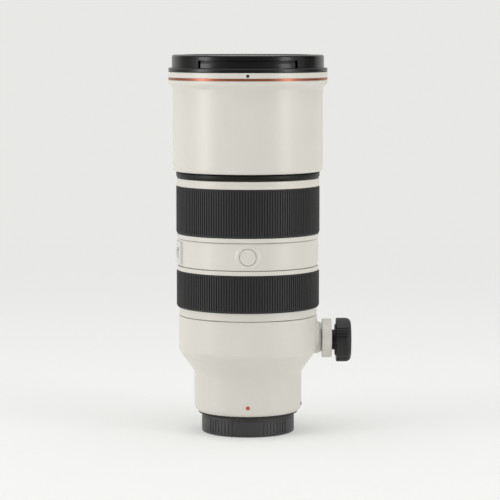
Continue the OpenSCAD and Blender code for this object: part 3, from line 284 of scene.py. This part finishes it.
def newGroup(name, inputs, outputs):
    group = bpy.data.node_groups.new(name, "ShaderNodeTree")
    for label, kind, value in inputs:
        sock = group.interface.new_socket(name=label, in_out="INPUT", socket_type=kind)
        sock.default_value = value
    for label, kind in outputs:
        group.interface.new_socket(name=label, in_out="OUTPUT", socket_type=kind)
    start = group.nodes.new("NodeGroupInput")
    end = group.nodes.new("NodeGroupOutput")
    return group, start, end


def objectCoords(group):
    return group.nodes.new("ShaderNodeTexCoord").outputs["Object"]


def noiseNode(group, coords, scale, detail, rough):
    noise = group.nodes.new("ShaderNodeTexNoise")
    group.links.new(coords, noise.inputs["Vector"])
    feed(group, noise.inputs["Scale"], scale)
    noise.inputs["Detail"].default_value = detail
    noise.inputs["Roughness"].default_value = rough
    return noise.outputs["Fac"]


# distance from the optical axis
def axisRadius(group, spot):
    square = mathNode(
        group, "ADD", mathNode(group, "POWER", spot["X"], 2.0), mathNode(group, "POWER", spot["Y"], 2.0))
    return mathNode(group, "SQRT", square)


# enamel: fine orange peel and slow tone drift
def makePeelGroup():
    group, start, end = newGroup(
        "enamelPeel",
        [("Peel Scale", "NodeSocketFloat", 900.0), ("Drift Scale", "NodeSocketFloat", 14.0)],
        [("Height", "NodeSocketFloat"), ("Drift", "NodeSocketFloat")],
    )
    coords = objectCoords(group)
    peel = noiseNode(group, coords, start.outputs["Peel Scale"], detail=3.0, rough=0.55)
    drift = noiseNode(group, coords, start.outputs["Drift Scale"], detail=4.0, rough=0.6)
    fine = noiseNode(group, coords, scale=2600.0, detail=2.0, rough=0.5)
    fineShare = 0.35
    height = mathNode(group, "ADD", peel, mathNode(group, "MULTIPLY", fine, fineShare))
    group.links.new(height, end.inputs["Height"])
    group.links.new(drift, end.inputs["Drift"])
    return group


# moulded grain: small cells broken up by noise
def makeGrainGroup():
    group, start, end = newGroup(
        "mouldGrain",
        [("Grain Scale", "NodeSocketFloat", 1400.0), ("Drift Scale", "NodeSocketFloat", 30.0)],
        [("Height", "NodeSocketFloat"), ("Drift", "NodeSocketFloat")],
    )
    coords = objectCoords(group)
    cells = group.nodes.new("ShaderNodeTexVoronoi")
    cells.feature = "SMOOTH_F1"
    group.links.new(coords, cells.inputs["Vector"])
    group.links.new(start.outputs["Grain Scale"], cells.inputs["Scale"])
    noise = noiseNode(group, coords, start.outputs["Grain Scale"], detail=4.0, rough=0.6)
    cellShare = 0.6
    height = mathNode(group, "ADD", mathNode(group, "MULTIPLY", cells.outputs["Distance"], cellShare), noise)
    drift = noiseNode(group, coords, start.outputs["Drift Scale"], detail=5.0, rough=0.62)
    group.links.new(height, end.inputs["Height"])
    group.links.new(drift, end.inputs["Drift"])
    return group


# turned metal: fine rings round the optical axis, with uneven depth
def makeTurnedGroup():
    group, start, end = newGroup(
        "turnedRings",
        [("Pitch Scale", "NodeSocketFloat", 900.0), ("Unevenness", "NodeSocketFloat", 0.6)],
        [("Height", "NodeSocketFloat"), ("Drift", "NodeSocketFloat")],
    )
    spot = splitNode(group, "Object")
    along = mathNode(group, "ADD", spot["Z"], axisRadius(group, spot))
    line = group.nodes.new("ShaderNodeTexNoise")
    line.noise_dimensions = "1D"
    line.inputs["Detail"].default_value = 3.0
    group.links.new(along, line.inputs["W"])
    group.links.new(start.outputs["Pitch Scale"], line.inputs["Scale"])
    drift = noiseNode(group, objectCoords(group), scale=40.0, detail=4.0, rough=0.6)
    height = mathNode(group, "ADD", line.outputs["Fac"],
                      mathNode(group, "MULTIPLY", drift, start.outputs["Unevenness"]))
    group.links.new(height, end.inputs["Height"])
    group.links.new(drift, end.inputs["Drift"])
    return group


# 0 at the low radius from the optical axis, 1 at the high one
def makeRadiusGroup():
    group, start, end = newGroup(
        "radiusMask",
        [("Low", "NodeSocketFloat", 0.0), ("High", "NodeSocketFloat", 1.0)],
        [("Mask", "NodeSocketFloat")],
    )
    radius = axisRadius(group, splitNode(group, "Object"))
    mask = rangeNode(group, radius, start.outputs["Low"], start.outputs["High"])
    group.links.new(mask, end.inputs["Mask"])
    return group


peelGroup = makePeelGroup()
grainGroup = makeGrainGroup()
turnedGroup = makeTurnedGroup()
radiusGroup = makeRadiusGroup()
print("surface effects ready")

# Materials


def startMaterial(name):
    mat = bpy.data.materials.new(name)
    mat.use_nodes = True
    bsdf = mat.node_tree.nodes["Principled BSDF"]
    return mat, mat.node_tree, bsdf


def addGroup(tree, group, **values):
    node = tree.nodes.new("ShaderNodeGroup")
    node.node_tree = group
    for label, value in values.items():
        node.inputs[label.replace("_", " ")].default_value = value
    return node


# the part of a noise's range that its colours and its gloss are spread over
colorSpread = (0.3, 0.7)
glossSpread = (0.25, 0.75)


def addRamp(tree, fac, low, high):
    ramp = tree.nodes.new("ShaderNodeValToRGB")
    for element, place, color in zip(ramp.color_ramp.elements, colorSpread, (low, high)):
        element.position = place
        element.color = (*color, 1.0)
    tree.links.new(fac, ramp.inputs["Fac"])
    return ramp.outputs["Color"]


def addRange(tree, fac, low, high):
    return rangeNode(tree, fac, *glossSpread, low, high)


def shade(color, share):
    return [c * share for c in color]


def mixBy(tree, mask, a, b, kind="RGBA"):
    mix = tree.nodes.new("ShaderNodeMix")
    mix.data_type = kind
    tree.links.new(mask, mix.inputs["Factor"])
    mix.inputs["A"].default_value = a
    tree.links.new(b, mix.inputs["B"])
    return mix.outputs["Result"]


def addBump(tree, bsdf, height, strength, distance):
    bump = tree.nodes.new("ShaderNodeBump")
    bump.inputs["Strength"].default_value = strength
    bump.inputs["Distance"].default_value = distance
    tree.links.new(height, bump.inputs["Height"])
    tree.links.new(bump.outputs["Normal"], bsdf.inputs["Normal"])


# inside its radius a lining makes a barrel matt black
barrelLining = {"radius": 0.0553, "edge": 0.0004, "color": (0.009, 0.009, 0.009, 1.0), "rough": 0.8}


def enamel(name, low, high, lining=None):
    mat, tree, bsdf = startMaterial(name)
    peel = addGroup(tree, peelGroup)
    paint = addRamp(tree, peel.outputs["Drift"], low, high)
    gloss = addRange(tree, peel.outputs["Drift"], 0.34, 0.42)
    if lining:
        outer = lining["radius"] + lining["edge"]
        mask = addGroup(tree, radiusGroup, Low=lining["radius"], High=outer).outputs["Mask"]
        paint = mixBy(tree, mask, lining["color"], paint)
        gloss = mixBy(tree, mask, lining["rough"], gloss, "FLOAT")
    tree.links.new(paint, bsdf.inputs["Base Color"])
    tree.links.new(gloss, bsdf.inputs["Roughness"])
    bsdf.inputs["Coat Weight"].default_value = 0.15
    bsdf.inputs["Coat Roughness"].default_value = 0.25
    addBump(tree, bsdf, peel.outputs["Height"], strength=0.10, distance=0.0002)
    return mat


def moulded(name, low, high, rough, grain=1400.0, bump=0.25, specular=0.5):
    mat, tree, bsdf = startMaterial(name)
    node = addGroup(tree, grainGroup, Grain_Scale=grain)
    tree.links.new(addRamp(tree, node.outputs["Drift"], low, high), bsdf.inputs["Base Color"])
    tree.links.new(addRange(tree, node.outputs["Drift"], *rough), bsdf.inputs["Roughness"])
    bsdf.inputs["Specular IOR Level"].default_value = specular
    addBump(tree, bsdf, node.outputs["Height"], bump, distance=0.0003)
    return mat


# grooves, below the high radius, have a painted tone of their own: painted shade where it is darker than the
# rib tops, painted light where it is lighter
def ribbed(name, groovePaintedLight, top, lowR, highR, rough):
    mat, tree, bsdf = startMaterial(name)
    node = addGroup(tree, grainGroup, Grain_Scale=1100.0, Drift_Scale=45.0)
    mask = addGroup(tree, radiusGroup, Low=lowR, High=highR)
    ridge = addRamp(tree, node.outputs["Drift"], shade(top, 0.86), top)
    # the radius mask swaps the rib tone for the grooves' painted light and shade
    tree.links.new(mixBy(tree, mask.outputs["Mask"], (*groovePaintedLight, 1.0), ridge), bsdf.inputs["Base Color"])
    tree.links.new(addRange(tree, node.outputs["Drift"], *rough), bsdf.inputs["Roughness"])
    addBump(tree, bsdf, node.outputs["Height"], strength=0.25, distance=0.0003)
    return mat


# painted shade: the panel's sloped ends are painted darker than its face, in place of the shade along them
def panelPlastic(name, low, high, slopeShade, faceFrom, faceTo):
    mat, tree, bsdf = startMaterial(name)
    node = addGroup(tree, grainGroup, Grain_Scale=1800.0)
    # 0 on the sloped ends, which take the painted shade, 1 on the face
    face = rangeNode(tree, splitNode(tree, "Object")["X"], faceFrom, faceTo)
    paint = addRamp(tree, node.outputs["Drift"], low, high)
    tree.links.new(mixBy(tree, face, (*slopeShade, 1.0), paint), bsdf.inputs["Base Color"])
    tree.links.new(addRange(tree, node.outputs["Drift"], 0.42, 0.52), bsdf.inputs["Roughness"])
    addBump(tree, bsdf, node.outputs["Height"], strength=0.12, distance=0.0003)
    return mat


def turnedMetal(name, low, high, rough, metallic=1.0, bump=0.12, specular=0.5):
    mat, tree, bsdf = startMaterial(name)
    node = addGroup(tree, turnedGroup)
    tree.links.new(addRamp(tree, node.outputs["Drift"], low, high), bsdf.inputs["Base Color"])
    tree.links.new(addRange(tree, node.outputs["Height"], *rough), bsdf.inputs["Roughness"])
    bsdf.inputs["Metallic"].default_value = metallic
    bsdf.inputs["Specular IOR Level"].default_value = specular
    addBump(tree, bsdf, node.outputs["Height"], bump, distance=0.0002)
    return mat


def redLacquer(name, low, high):
    mat, tree, bsdf = startMaterial(name)
    node = addGroup(tree, turnedGroup, Pitch_Scale=1400.0)
    tree.links.new(addRamp(tree, node.outputs["Drift"], low, high), bsdf.inputs["Base Color"])
    tree.links.new(addRange(tree, node.outputs["Height"], 0.28, 0.37), bsdf.inputs["Roughness"])
    bsdf.inputs["Metallic"].default_value = 0.8
    bsdf.inputs["Specular IOR Level"].default_value = 0.7
    bsdf.inputs["Coat Weight"].default_value = 0.2
    bsdf.inputs["Coat Roughness"].default_value = 0.2
    addBump(tree, bsdf, node.outputs["Height"], strength=0.05, distance=0.0001)
    return mat


def coatedGlass(name, tint, coatTint):
    mat, tree, bsdf = startMaterial(name)
    node = addGroup(tree, grainGroup, Grain_Scale=60.0, Drift_Scale=18.0)
    paint = addRamp(tree, node.outputs["Drift"], shade(tint, 0.97), tint)
    tree.links.new(paint, bsdf.inputs["Base Color"])
    bsdf.inputs["Roughness"].default_value = 0.02
    bsdf.inputs["IOR"].default_value = 1.6
    bsdf.inputs["Transmission Weight"].default_value = 1.0
    bsdf.inputs["Specular Tint"].default_value = (*coatTint, 1.0)
    return mat


offWhite = ((0.63, 0.61, 0.555), (0.66, 0.64, 0.585))

finishes = {
    "white_paint": enamel("whiteEnamel", *offWhite),
    # painted shade: the rubber's grooves are painted darker than the rib tops
    "black_rubber": ribbed(
        "ribbedRubber", groovePaintedLight=(0.005, 0.005, 0.005), top=(0.022, 0.022, 0.022),
        lowR=0.0537, highR=0.0543, rough=(0.54, 0.66)),
    "cap_plastic": moulded(
        "capPlastic", (0.0030, 0.0030, 0.0030), (0.0042, 0.0042, 0.0041), (0.20, 0.27),
        grain=1600.0, bump=0.05, specular=0.32),
    # painted light: the rear cap's grooves are painted lighter than the rib tops to cancel the shade in them
    "rear_cap_plastic": ribbed(
        "rearCapPlastic", groovePaintedLight=(0.085, 0.083, 0.079), top=(0.034, 0.034, 0.035),
        lowR=0.0347, highR=0.0352, rough=(0.40, 0.50)),
    "black_metal": turnedMetal(
        "blackAnodised", (0.0050, 0.0046, 0.0034), (0.0070, 0.0064, 0.0050), (0.32, 0.42),
        metallic=0.0, bump=0.10, specular=0.26),
    "knob_plastic": moulded(
        "knobPlastic", (0.009, 0.009, 0.009), (0.012, 0.012, 0.012), (0.40, 0.52),
        bump=0.2, specular=0.4),
    "switch_plastic": moulded("switchPlastic", (0.54, 0.53, 0.51), (0.58, 0.57, 0.55), (0.4, 0.5)),
    # the darker colour for the panel's sloped ends is painted shade
    "panel_plastic": panelPlastic(
        "panelPlastic", (0.60, 0.595, 0.56), (0.64, 0.632, 0.597),
        slopeShade=(0.47, 0.46, 0.43), faceFrom=-0.0506, faceTo=-0.0513),
    "red_paint": redLacquer("redLacquer", (0.31, 0.088, 0.047), (0.36, 0.108, 0.059)),
    "mount_steel": turnedMetal("mountSteel", (0.62, 0.62, 0.63), (0.72, 0.72, 0.73), (0.14, 0.26)),
    "screw_steel": turnedMetal("blackSteel", (0.10, 0.10, 0.10), (0.16, 0.16, 0.16), (0.3, 0.42)),
    "tube_metal": turnedMetal("turnedTube", (0.34, 0.34, 0.36), (0.44, 0.44, 0.46), (0.3, 0.45)),
    "cell_plastic": moulded("cellBlack", (0.008, 0.008, 0.0085), (0.012, 0.012, 0.0125), (0.6, 0.75)),
    "lens_glass": coatedGlass("coatedGlass", (0.975, 0.985, 0.98), (0.44, 0.36, 0.70)),
    "brass": turnedMetal("turnedBrass", (0.60, 0.42, 0.17), (0.70, 0.50, 0.22), (0.22, 0.34)),
    "board": moulded(
        "solderMask", (0.014, 0.09, 0.04), (0.024, 0.13, 0.06), (0.3, 0.42), grain=700.0, bump=0.1),
    "gasket_rubber": moulded("gasketRubber", (0.014, 0.014, 0.014), (0.02, 0.02, 0.02), (0.7, 0.82)),
}

# nodes whose finish departs from their slot's: the front tube is black inside, the filter ring is glossy,
# and the mount dot is plain paint
linedEnamel = enamel("linedEnamel", *offWhite, lining=barrelLining)
ownFinish = {
    "front_barrel": linedEnamel,
    "hood_ring": linedEnamel,
    "filter_ring": turnedMetal(
        "filterBlack", (0.0022, 0.0021, 0.0020), (0.0032, 0.0031, 0.0029), (0.21, 0.29),
        metallic=0.0, bump=0.05, specular=0.38),
    "mount_index_dot": enamel("indexRed", (0.48, 0.062, 0.031), (0.52, 0.072, 0.038)),
}


def dressNodes():
    slotOf = {}
    for entry in frame["record"]["subparts"]:
        slotOf[entry["node"]] = entry["material_slot"]
    for name, obj in cadNodes.items():
        obj.data.materials.clear()
        obj.data.materials.append(ownFinish.get(name, finishes[slotOf[name]]))


dressNodes()
print("nodes dressed")

# Detail pieces


def selectFaces(piece, test):
    bpy.ops.object.mode_set(mode="EDIT")
    bpy.ops.mesh.select_mode(type="FACE")
    bpy.ops.mesh.select_all(action="DESELECT")
    bpy.ops.object.mode_set(mode="OBJECT")
    for face in piece.data.polygons:
        face.select = test(face)
    bpy.ops.object.mode_set(mode="EDIT")


edgeAngle = math.radians(35.0)
facing = 0.9  # least share of a face's normal along an axis


def bevelPiece(piece, width):
    bevel = piece.modifiers.new("edgeBevel", "BEVEL")
    bevel.width = width
    bevel.segments = 2
    bevel.limit_method = "ANGLE"
    bevel.angle_limit = edgeAngle
    bpy.ops.object.modifier_apply(modifier=bevel.name)


def finishPiece(piece, name, slot, body, material=None):
    bpy.ops.object.mode_set(mode="OBJECT")
    bpy.ops.object.transform_apply(location=True, rotation=True, scale=True)
    bpy.ops.object.shade_smooth_by_angle(angle=edgeAngle)
    piece.name = name
    piece.data.name = name
    piece.data.materials.clear()
    piece.data.materials.append(material or finishes[slot])
    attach(piece, body)


# turns the whole mesh about an axis through the origin; the operator counts the other way round
def turnPiece(angle, axis):
    bpy.ops.object.mode_set(mode="EDIT")
    bpy.ops.mesh.select_all(action="SELECT")
    bpy.ops.transform.rotate(value=-angle, orient_axis=axis, center_override=(0.0, 0.0, 0.0))
    bpy.ops.object.mode_set(mode="OBJECT")


def movePiece(step):
    bpy.ops.object.mode_set(mode="EDIT")
    bpy.ops.mesh.select_all(action="SELECT")
    bpy.ops.transform.translate(value=step)
    bpy.ops.object.mode_set(mode="OBJECT")


# black index dot on the hood ring
hoodDot = {
    "radius": 0.00118,
    "height": 0.0020,
    "sink": 0.0005,
    "proud": 0.00004,
    "rimShare": 0.12,
    "dish": 0.00003,
}


def makeHoodDot():
    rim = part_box("hood_ring")[1].x
    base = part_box("red_ring")[1].z
    depth = hoodDot["sink"] + hoodDot["proud"]
    deselectAll()
    bpy.ops.mesh.primitive_cylinder_add(
        vertices=48, radius=hoodDot["radius"], depth=depth, rotation=(math.pi / 2, 0.0, 0.0),
        location=(0.0, -rim + (hoodDot["sink"] - hoodDot["proud"]) / 2, base + hoodDot["height"]))
    dot = bpy.context.object
    bpy.ops.object.transform_apply(location=True, rotation=True, scale=True)
    selectFaces(dot, lambda face: face.normal.y < -facing)
    bpy.ops.mesh.inset(thickness=hoodDot["radius"] * hoodDot["rimShare"])
    bpy.ops.transform.translate(value=(0.0, hoodDot["dish"], 0.0))
    bpy.ops.object.mode_set(mode="OBJECT")
    finishPiece(dot, "hoodIndexDot", "black_metal", "barrel")


makeHoodDot()

# printed position marks on the switch panel: a dash above and a dot below each slot
panelMark = {
    "switches": ("focus_mode_switch", "focus_range_switch", "stabiliser_switch"),
    "dash": (0.0017, 0.00042),
    "dashRound": 0.45,  # share of the dash's height
    "dotRadius": 0.00042,
    "dotRim": 0.2,  # share of the dot's radius
    "offset": 0.0058,
    "sink": 0.0002,
    "proud": 0.00003,
    "ink": (0.035, 0.035, 0.036),
    "inkDrift": 1.25,
}


def makePanelMarks():
    low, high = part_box("switch_panel")
    reach = -low.x
    middle = (low.z + high.z) / 2
    depth = panelMark["sink"] + panelMark["proud"]
    place = -reach + (panelMark["sink"] - panelMark["proud"]) / 2
    ink = panelMark["ink"]
    material = moulded(
        "printedInk", ink, shade(ink, panelMark["inkDrift"]), (0.5, 0.6), grain=2000.0, bump=0.05)

    deselectAll()
    bpy.ops.mesh.primitive_cube_add(size=1.0, location=(place, 0.0, middle + panelMark["offset"]))
    dash = bpy.context.object
    dash.scale = (depth, panelMark["dash"][0], panelMark["dash"][1])
    bpy.ops.object.transform_apply(location=True, rotation=True, scale=True)
    bpy.ops.object.mode_set(mode="EDIT")
    bpy.ops.mesh.select_mode(type="EDGE")
    bpy.ops.mesh.select_all(action="DESELECT")
    bpy.ops.object.mode_set(mode="OBJECT")
    for edge in dash.data.edges:
        a, b = [dash.data.vertices[i].co for i in edge.vertices]
        edge.select = abs(a.x - b.x) > depth / 2
    bpy.ops.object.mode_set(mode="EDIT")
    bpy.ops.mesh.bevel(offset=panelMark["dash"][1] * panelMark["dashRound"], segments=4)
    bpy.ops.object.mode_set(mode="OBJECT")

    deselectAll()
    bpy.ops.mesh.primitive_cylinder_add(
        vertices=28, radius=panelMark["dotRadius"], depth=depth, rotation=(0.0, math.pi / 2, 0.0),
        location=(place, 0.0, middle - panelMark["offset"]))
    dot = bpy.context.object
    bpy.ops.object.transform_apply(location=True, rotation=True, scale=True)
    selectFaces(dot, lambda face: face.normal.x < -facing)
    bpy.ops.mesh.inset(thickness=panelMark["dotRadius"] * panelMark["dotRim"])
    bpy.ops.object.mode_set(mode="OBJECT")

    for source, label in ((dash, "panelDash"), (dot, "panelDot")):
        for i, node in enumerate(panelMark["switches"]):
            lowS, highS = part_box(node)
            centre = (lowS + highS) / 2
            angle = math.atan2(centre.y, centre.x) - math.pi
            deselectAll()
            source.select_set(True)
            bpy.context.view_layer.objects.active = source
            bpy.ops.object.duplicate(linked=False)
            copy = bpy.context.object
            turnPiece(angle, "Z")
            finishPiece(copy, label + str(i + 1), "switch_plastic", "barrel", material)
        deselectAll()
        source.select_set(True)
        bpy.ops.object.delete()


makePanelMarks()

# steel bushes and screw threads in the two tripod holes
tripodThread = {
    "small_tripod_thread": {"pitch": 0.00127, "rim": 0.0017},
    "large_tripod_thread": {"pitch": 0.00159, "rim": 0.0020},
    "crest": 0.00016,
    "sink": 0.0006,
    "proud": 0.00006,
    "overlap": 0.00002,
    "bevel": 0.00012,
    "toothShare": 0.42,  # shares of the pitch
    "startShare": 0.3,
    "steps": 28,
    "weld": 0.000002,
}


def makeTripodThreads():
    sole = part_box("tripod_foot")[1].y
    mounts = {m["name"]: m for m in frame["record"]["mounts"]}
    for name, label in (("small_tripod_thread", "small"), ("large_tripod_thread", "large")):
        bore = mounts[name]["dims"]["r_mm"] / 1000
        length = mounts[name]["dims"]["length_mm"] / 1000
        height = mounts[name]["pos_m"][2]
        values = tripodThread[name]
        depth = tripodThread["sink"] + tripodThread["proud"]
        deselectAll()
        bpy.ops.mesh.primitive_cylinder_add(
            vertices=64, radius=bore + values["rim"], depth=depth, rotation=(math.pi / 2, 0.0, 0.0),
            location=(0.0, sole + (tripodThread["proud"] - tripodThread["sink"]) / 2, height))
        bush = bpy.context.object
        bpy.ops.object.transform_apply(location=True, rotation=True, scale=True)
        selectFaces(bush, lambda face: abs(face.normal.y) > facing)
        bpy.ops.mesh.inset(thickness=values["rim"] + tripodThread["overlap"])
        bpy.ops.mesh.bridge_edge_loops()
        bpy.ops.object.mode_set(mode="OBJECT")
        bevelPiece(bush, tripodThread["bevel"])
        finishPiece(bush, label + "ThreadBush", "mount_steel", "tripod_collar")

        # one tooth, swept up the bore by a screw
        deselectAll()
        bpy.ops.mesh.primitive_circle_add(
            vertices=3, radius=values["pitch"] * tripodThread["toothShare"], fill_type="NOTHING",
            rotation=(math.pi / 2, 0.0, 0.0))
        tooth = bpy.context.object
        bpy.ops.object.transform_apply(location=True, rotation=True, scale=True)
        turnPiece(-math.pi / 2, "Y")
        nearest = min(v.co.x for v in tooth.data.vertices)
        movePiece((bore - tripodThread["crest"] - nearest, 0.0, 0.0))
        turns = int((length - depth) / values["pitch"]) - 1
        screw = tooth.modifiers.new("threadSweep", "SCREW")
        screw.axis = "Z"
        screw.screw_offset = values["pitch"]
        screw.iterations = turns
        screw.steps = tripodThread["steps"]
        screw.render_steps = tripodThread["steps"]
        bpy.ops.object.modifier_apply(modifier=screw.name)
        bpy.ops.object.mode_set(mode="EDIT")
        bpy.ops.mesh.select_mode(type="VERT")
        bpy.ops.mesh.select_all(action="SELECT")
        bpy.ops.mesh.remove_doubles(threshold=tripodThread["weld"])
        bpy.ops.mesh.select_all(action="DESELECT")
        bpy.ops.mesh.select_non_manifold()
        bpy.ops.mesh.fill_holes(sides=4)
        bpy.ops.mesh.select_all(action="SELECT")
        bpy.ops.mesh.normals_make_consistent(inside=False)
        bpy.ops.object.mode_set(mode="OBJECT")
        turnPiece(-math.pi / 2, "X")
        lowest = min(v.co.y for v in tooth.data.vertices)
        start = sole - length + values["pitch"] * tripodThread["startShare"]
        movePiece((0.0, start - lowest, height))
        finishPiece(tooth, label + "ThreadTurns", "mount_steel", "tripod_collar")


makeTripodThreads()

# cover disc set in the end of the lock knob
knobCover = {
    "radius": 0.0085,
    "depth": 0.0005,
    "rim": 0.0009,
    "ring": 2.2,  # share of the rim
    "dish": 0.00022,
    "boss": 0.7,  # share of the dish
    "gap": 0.0006,
    "seat": 0.00005,
    "bevel": 0.00009,
}


def makeKnobCover():
    low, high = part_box("lock_knob")
    centre = ((low.y + high.y) / 2, (low.z + high.z) / 2)
    floor = high.x - knobCover["gap"]
    deselectAll()
    bpy.ops.mesh.primitive_cylinder_add(
        vertices=72, radius=knobCover["radius"], depth=knobCover["depth"], rotation=(0.0, math.pi / 2, 0.0),
        location=(floor + knobCover["depth"] / 2 - knobCover["seat"], centre[0], centre[1]))
    cover = bpy.context.object
    bpy.ops.object.transform_apply(location=True, rotation=True, scale=True)
    selectFaces(cover, lambda face: face.normal.x > facing)
    bpy.ops.mesh.inset(thickness=knobCover["rim"])
    bpy.ops.mesh.extrude_region_move(TRANSFORM_OT_translate={"value": (-knobCover["dish"], 0.0, 0.0)})
    bpy.ops.mesh.inset(thickness=knobCover["rim"] * knobCover["ring"])
    boss = knobCover["dish"] * knobCover["boss"]
    bpy.ops.mesh.extrude_region_move(TRANSFORM_OT_translate={"value": (boss, 0.0, 0.0)})
    bpy.ops.object.mode_set(mode="OBJECT")
    bevelPiece(cover, knobCover["bevel"])
    finishPiece(cover, "knobCover", "knob_plastic", "lock_knob")


makeKnobCover()
print("detail pieces made")
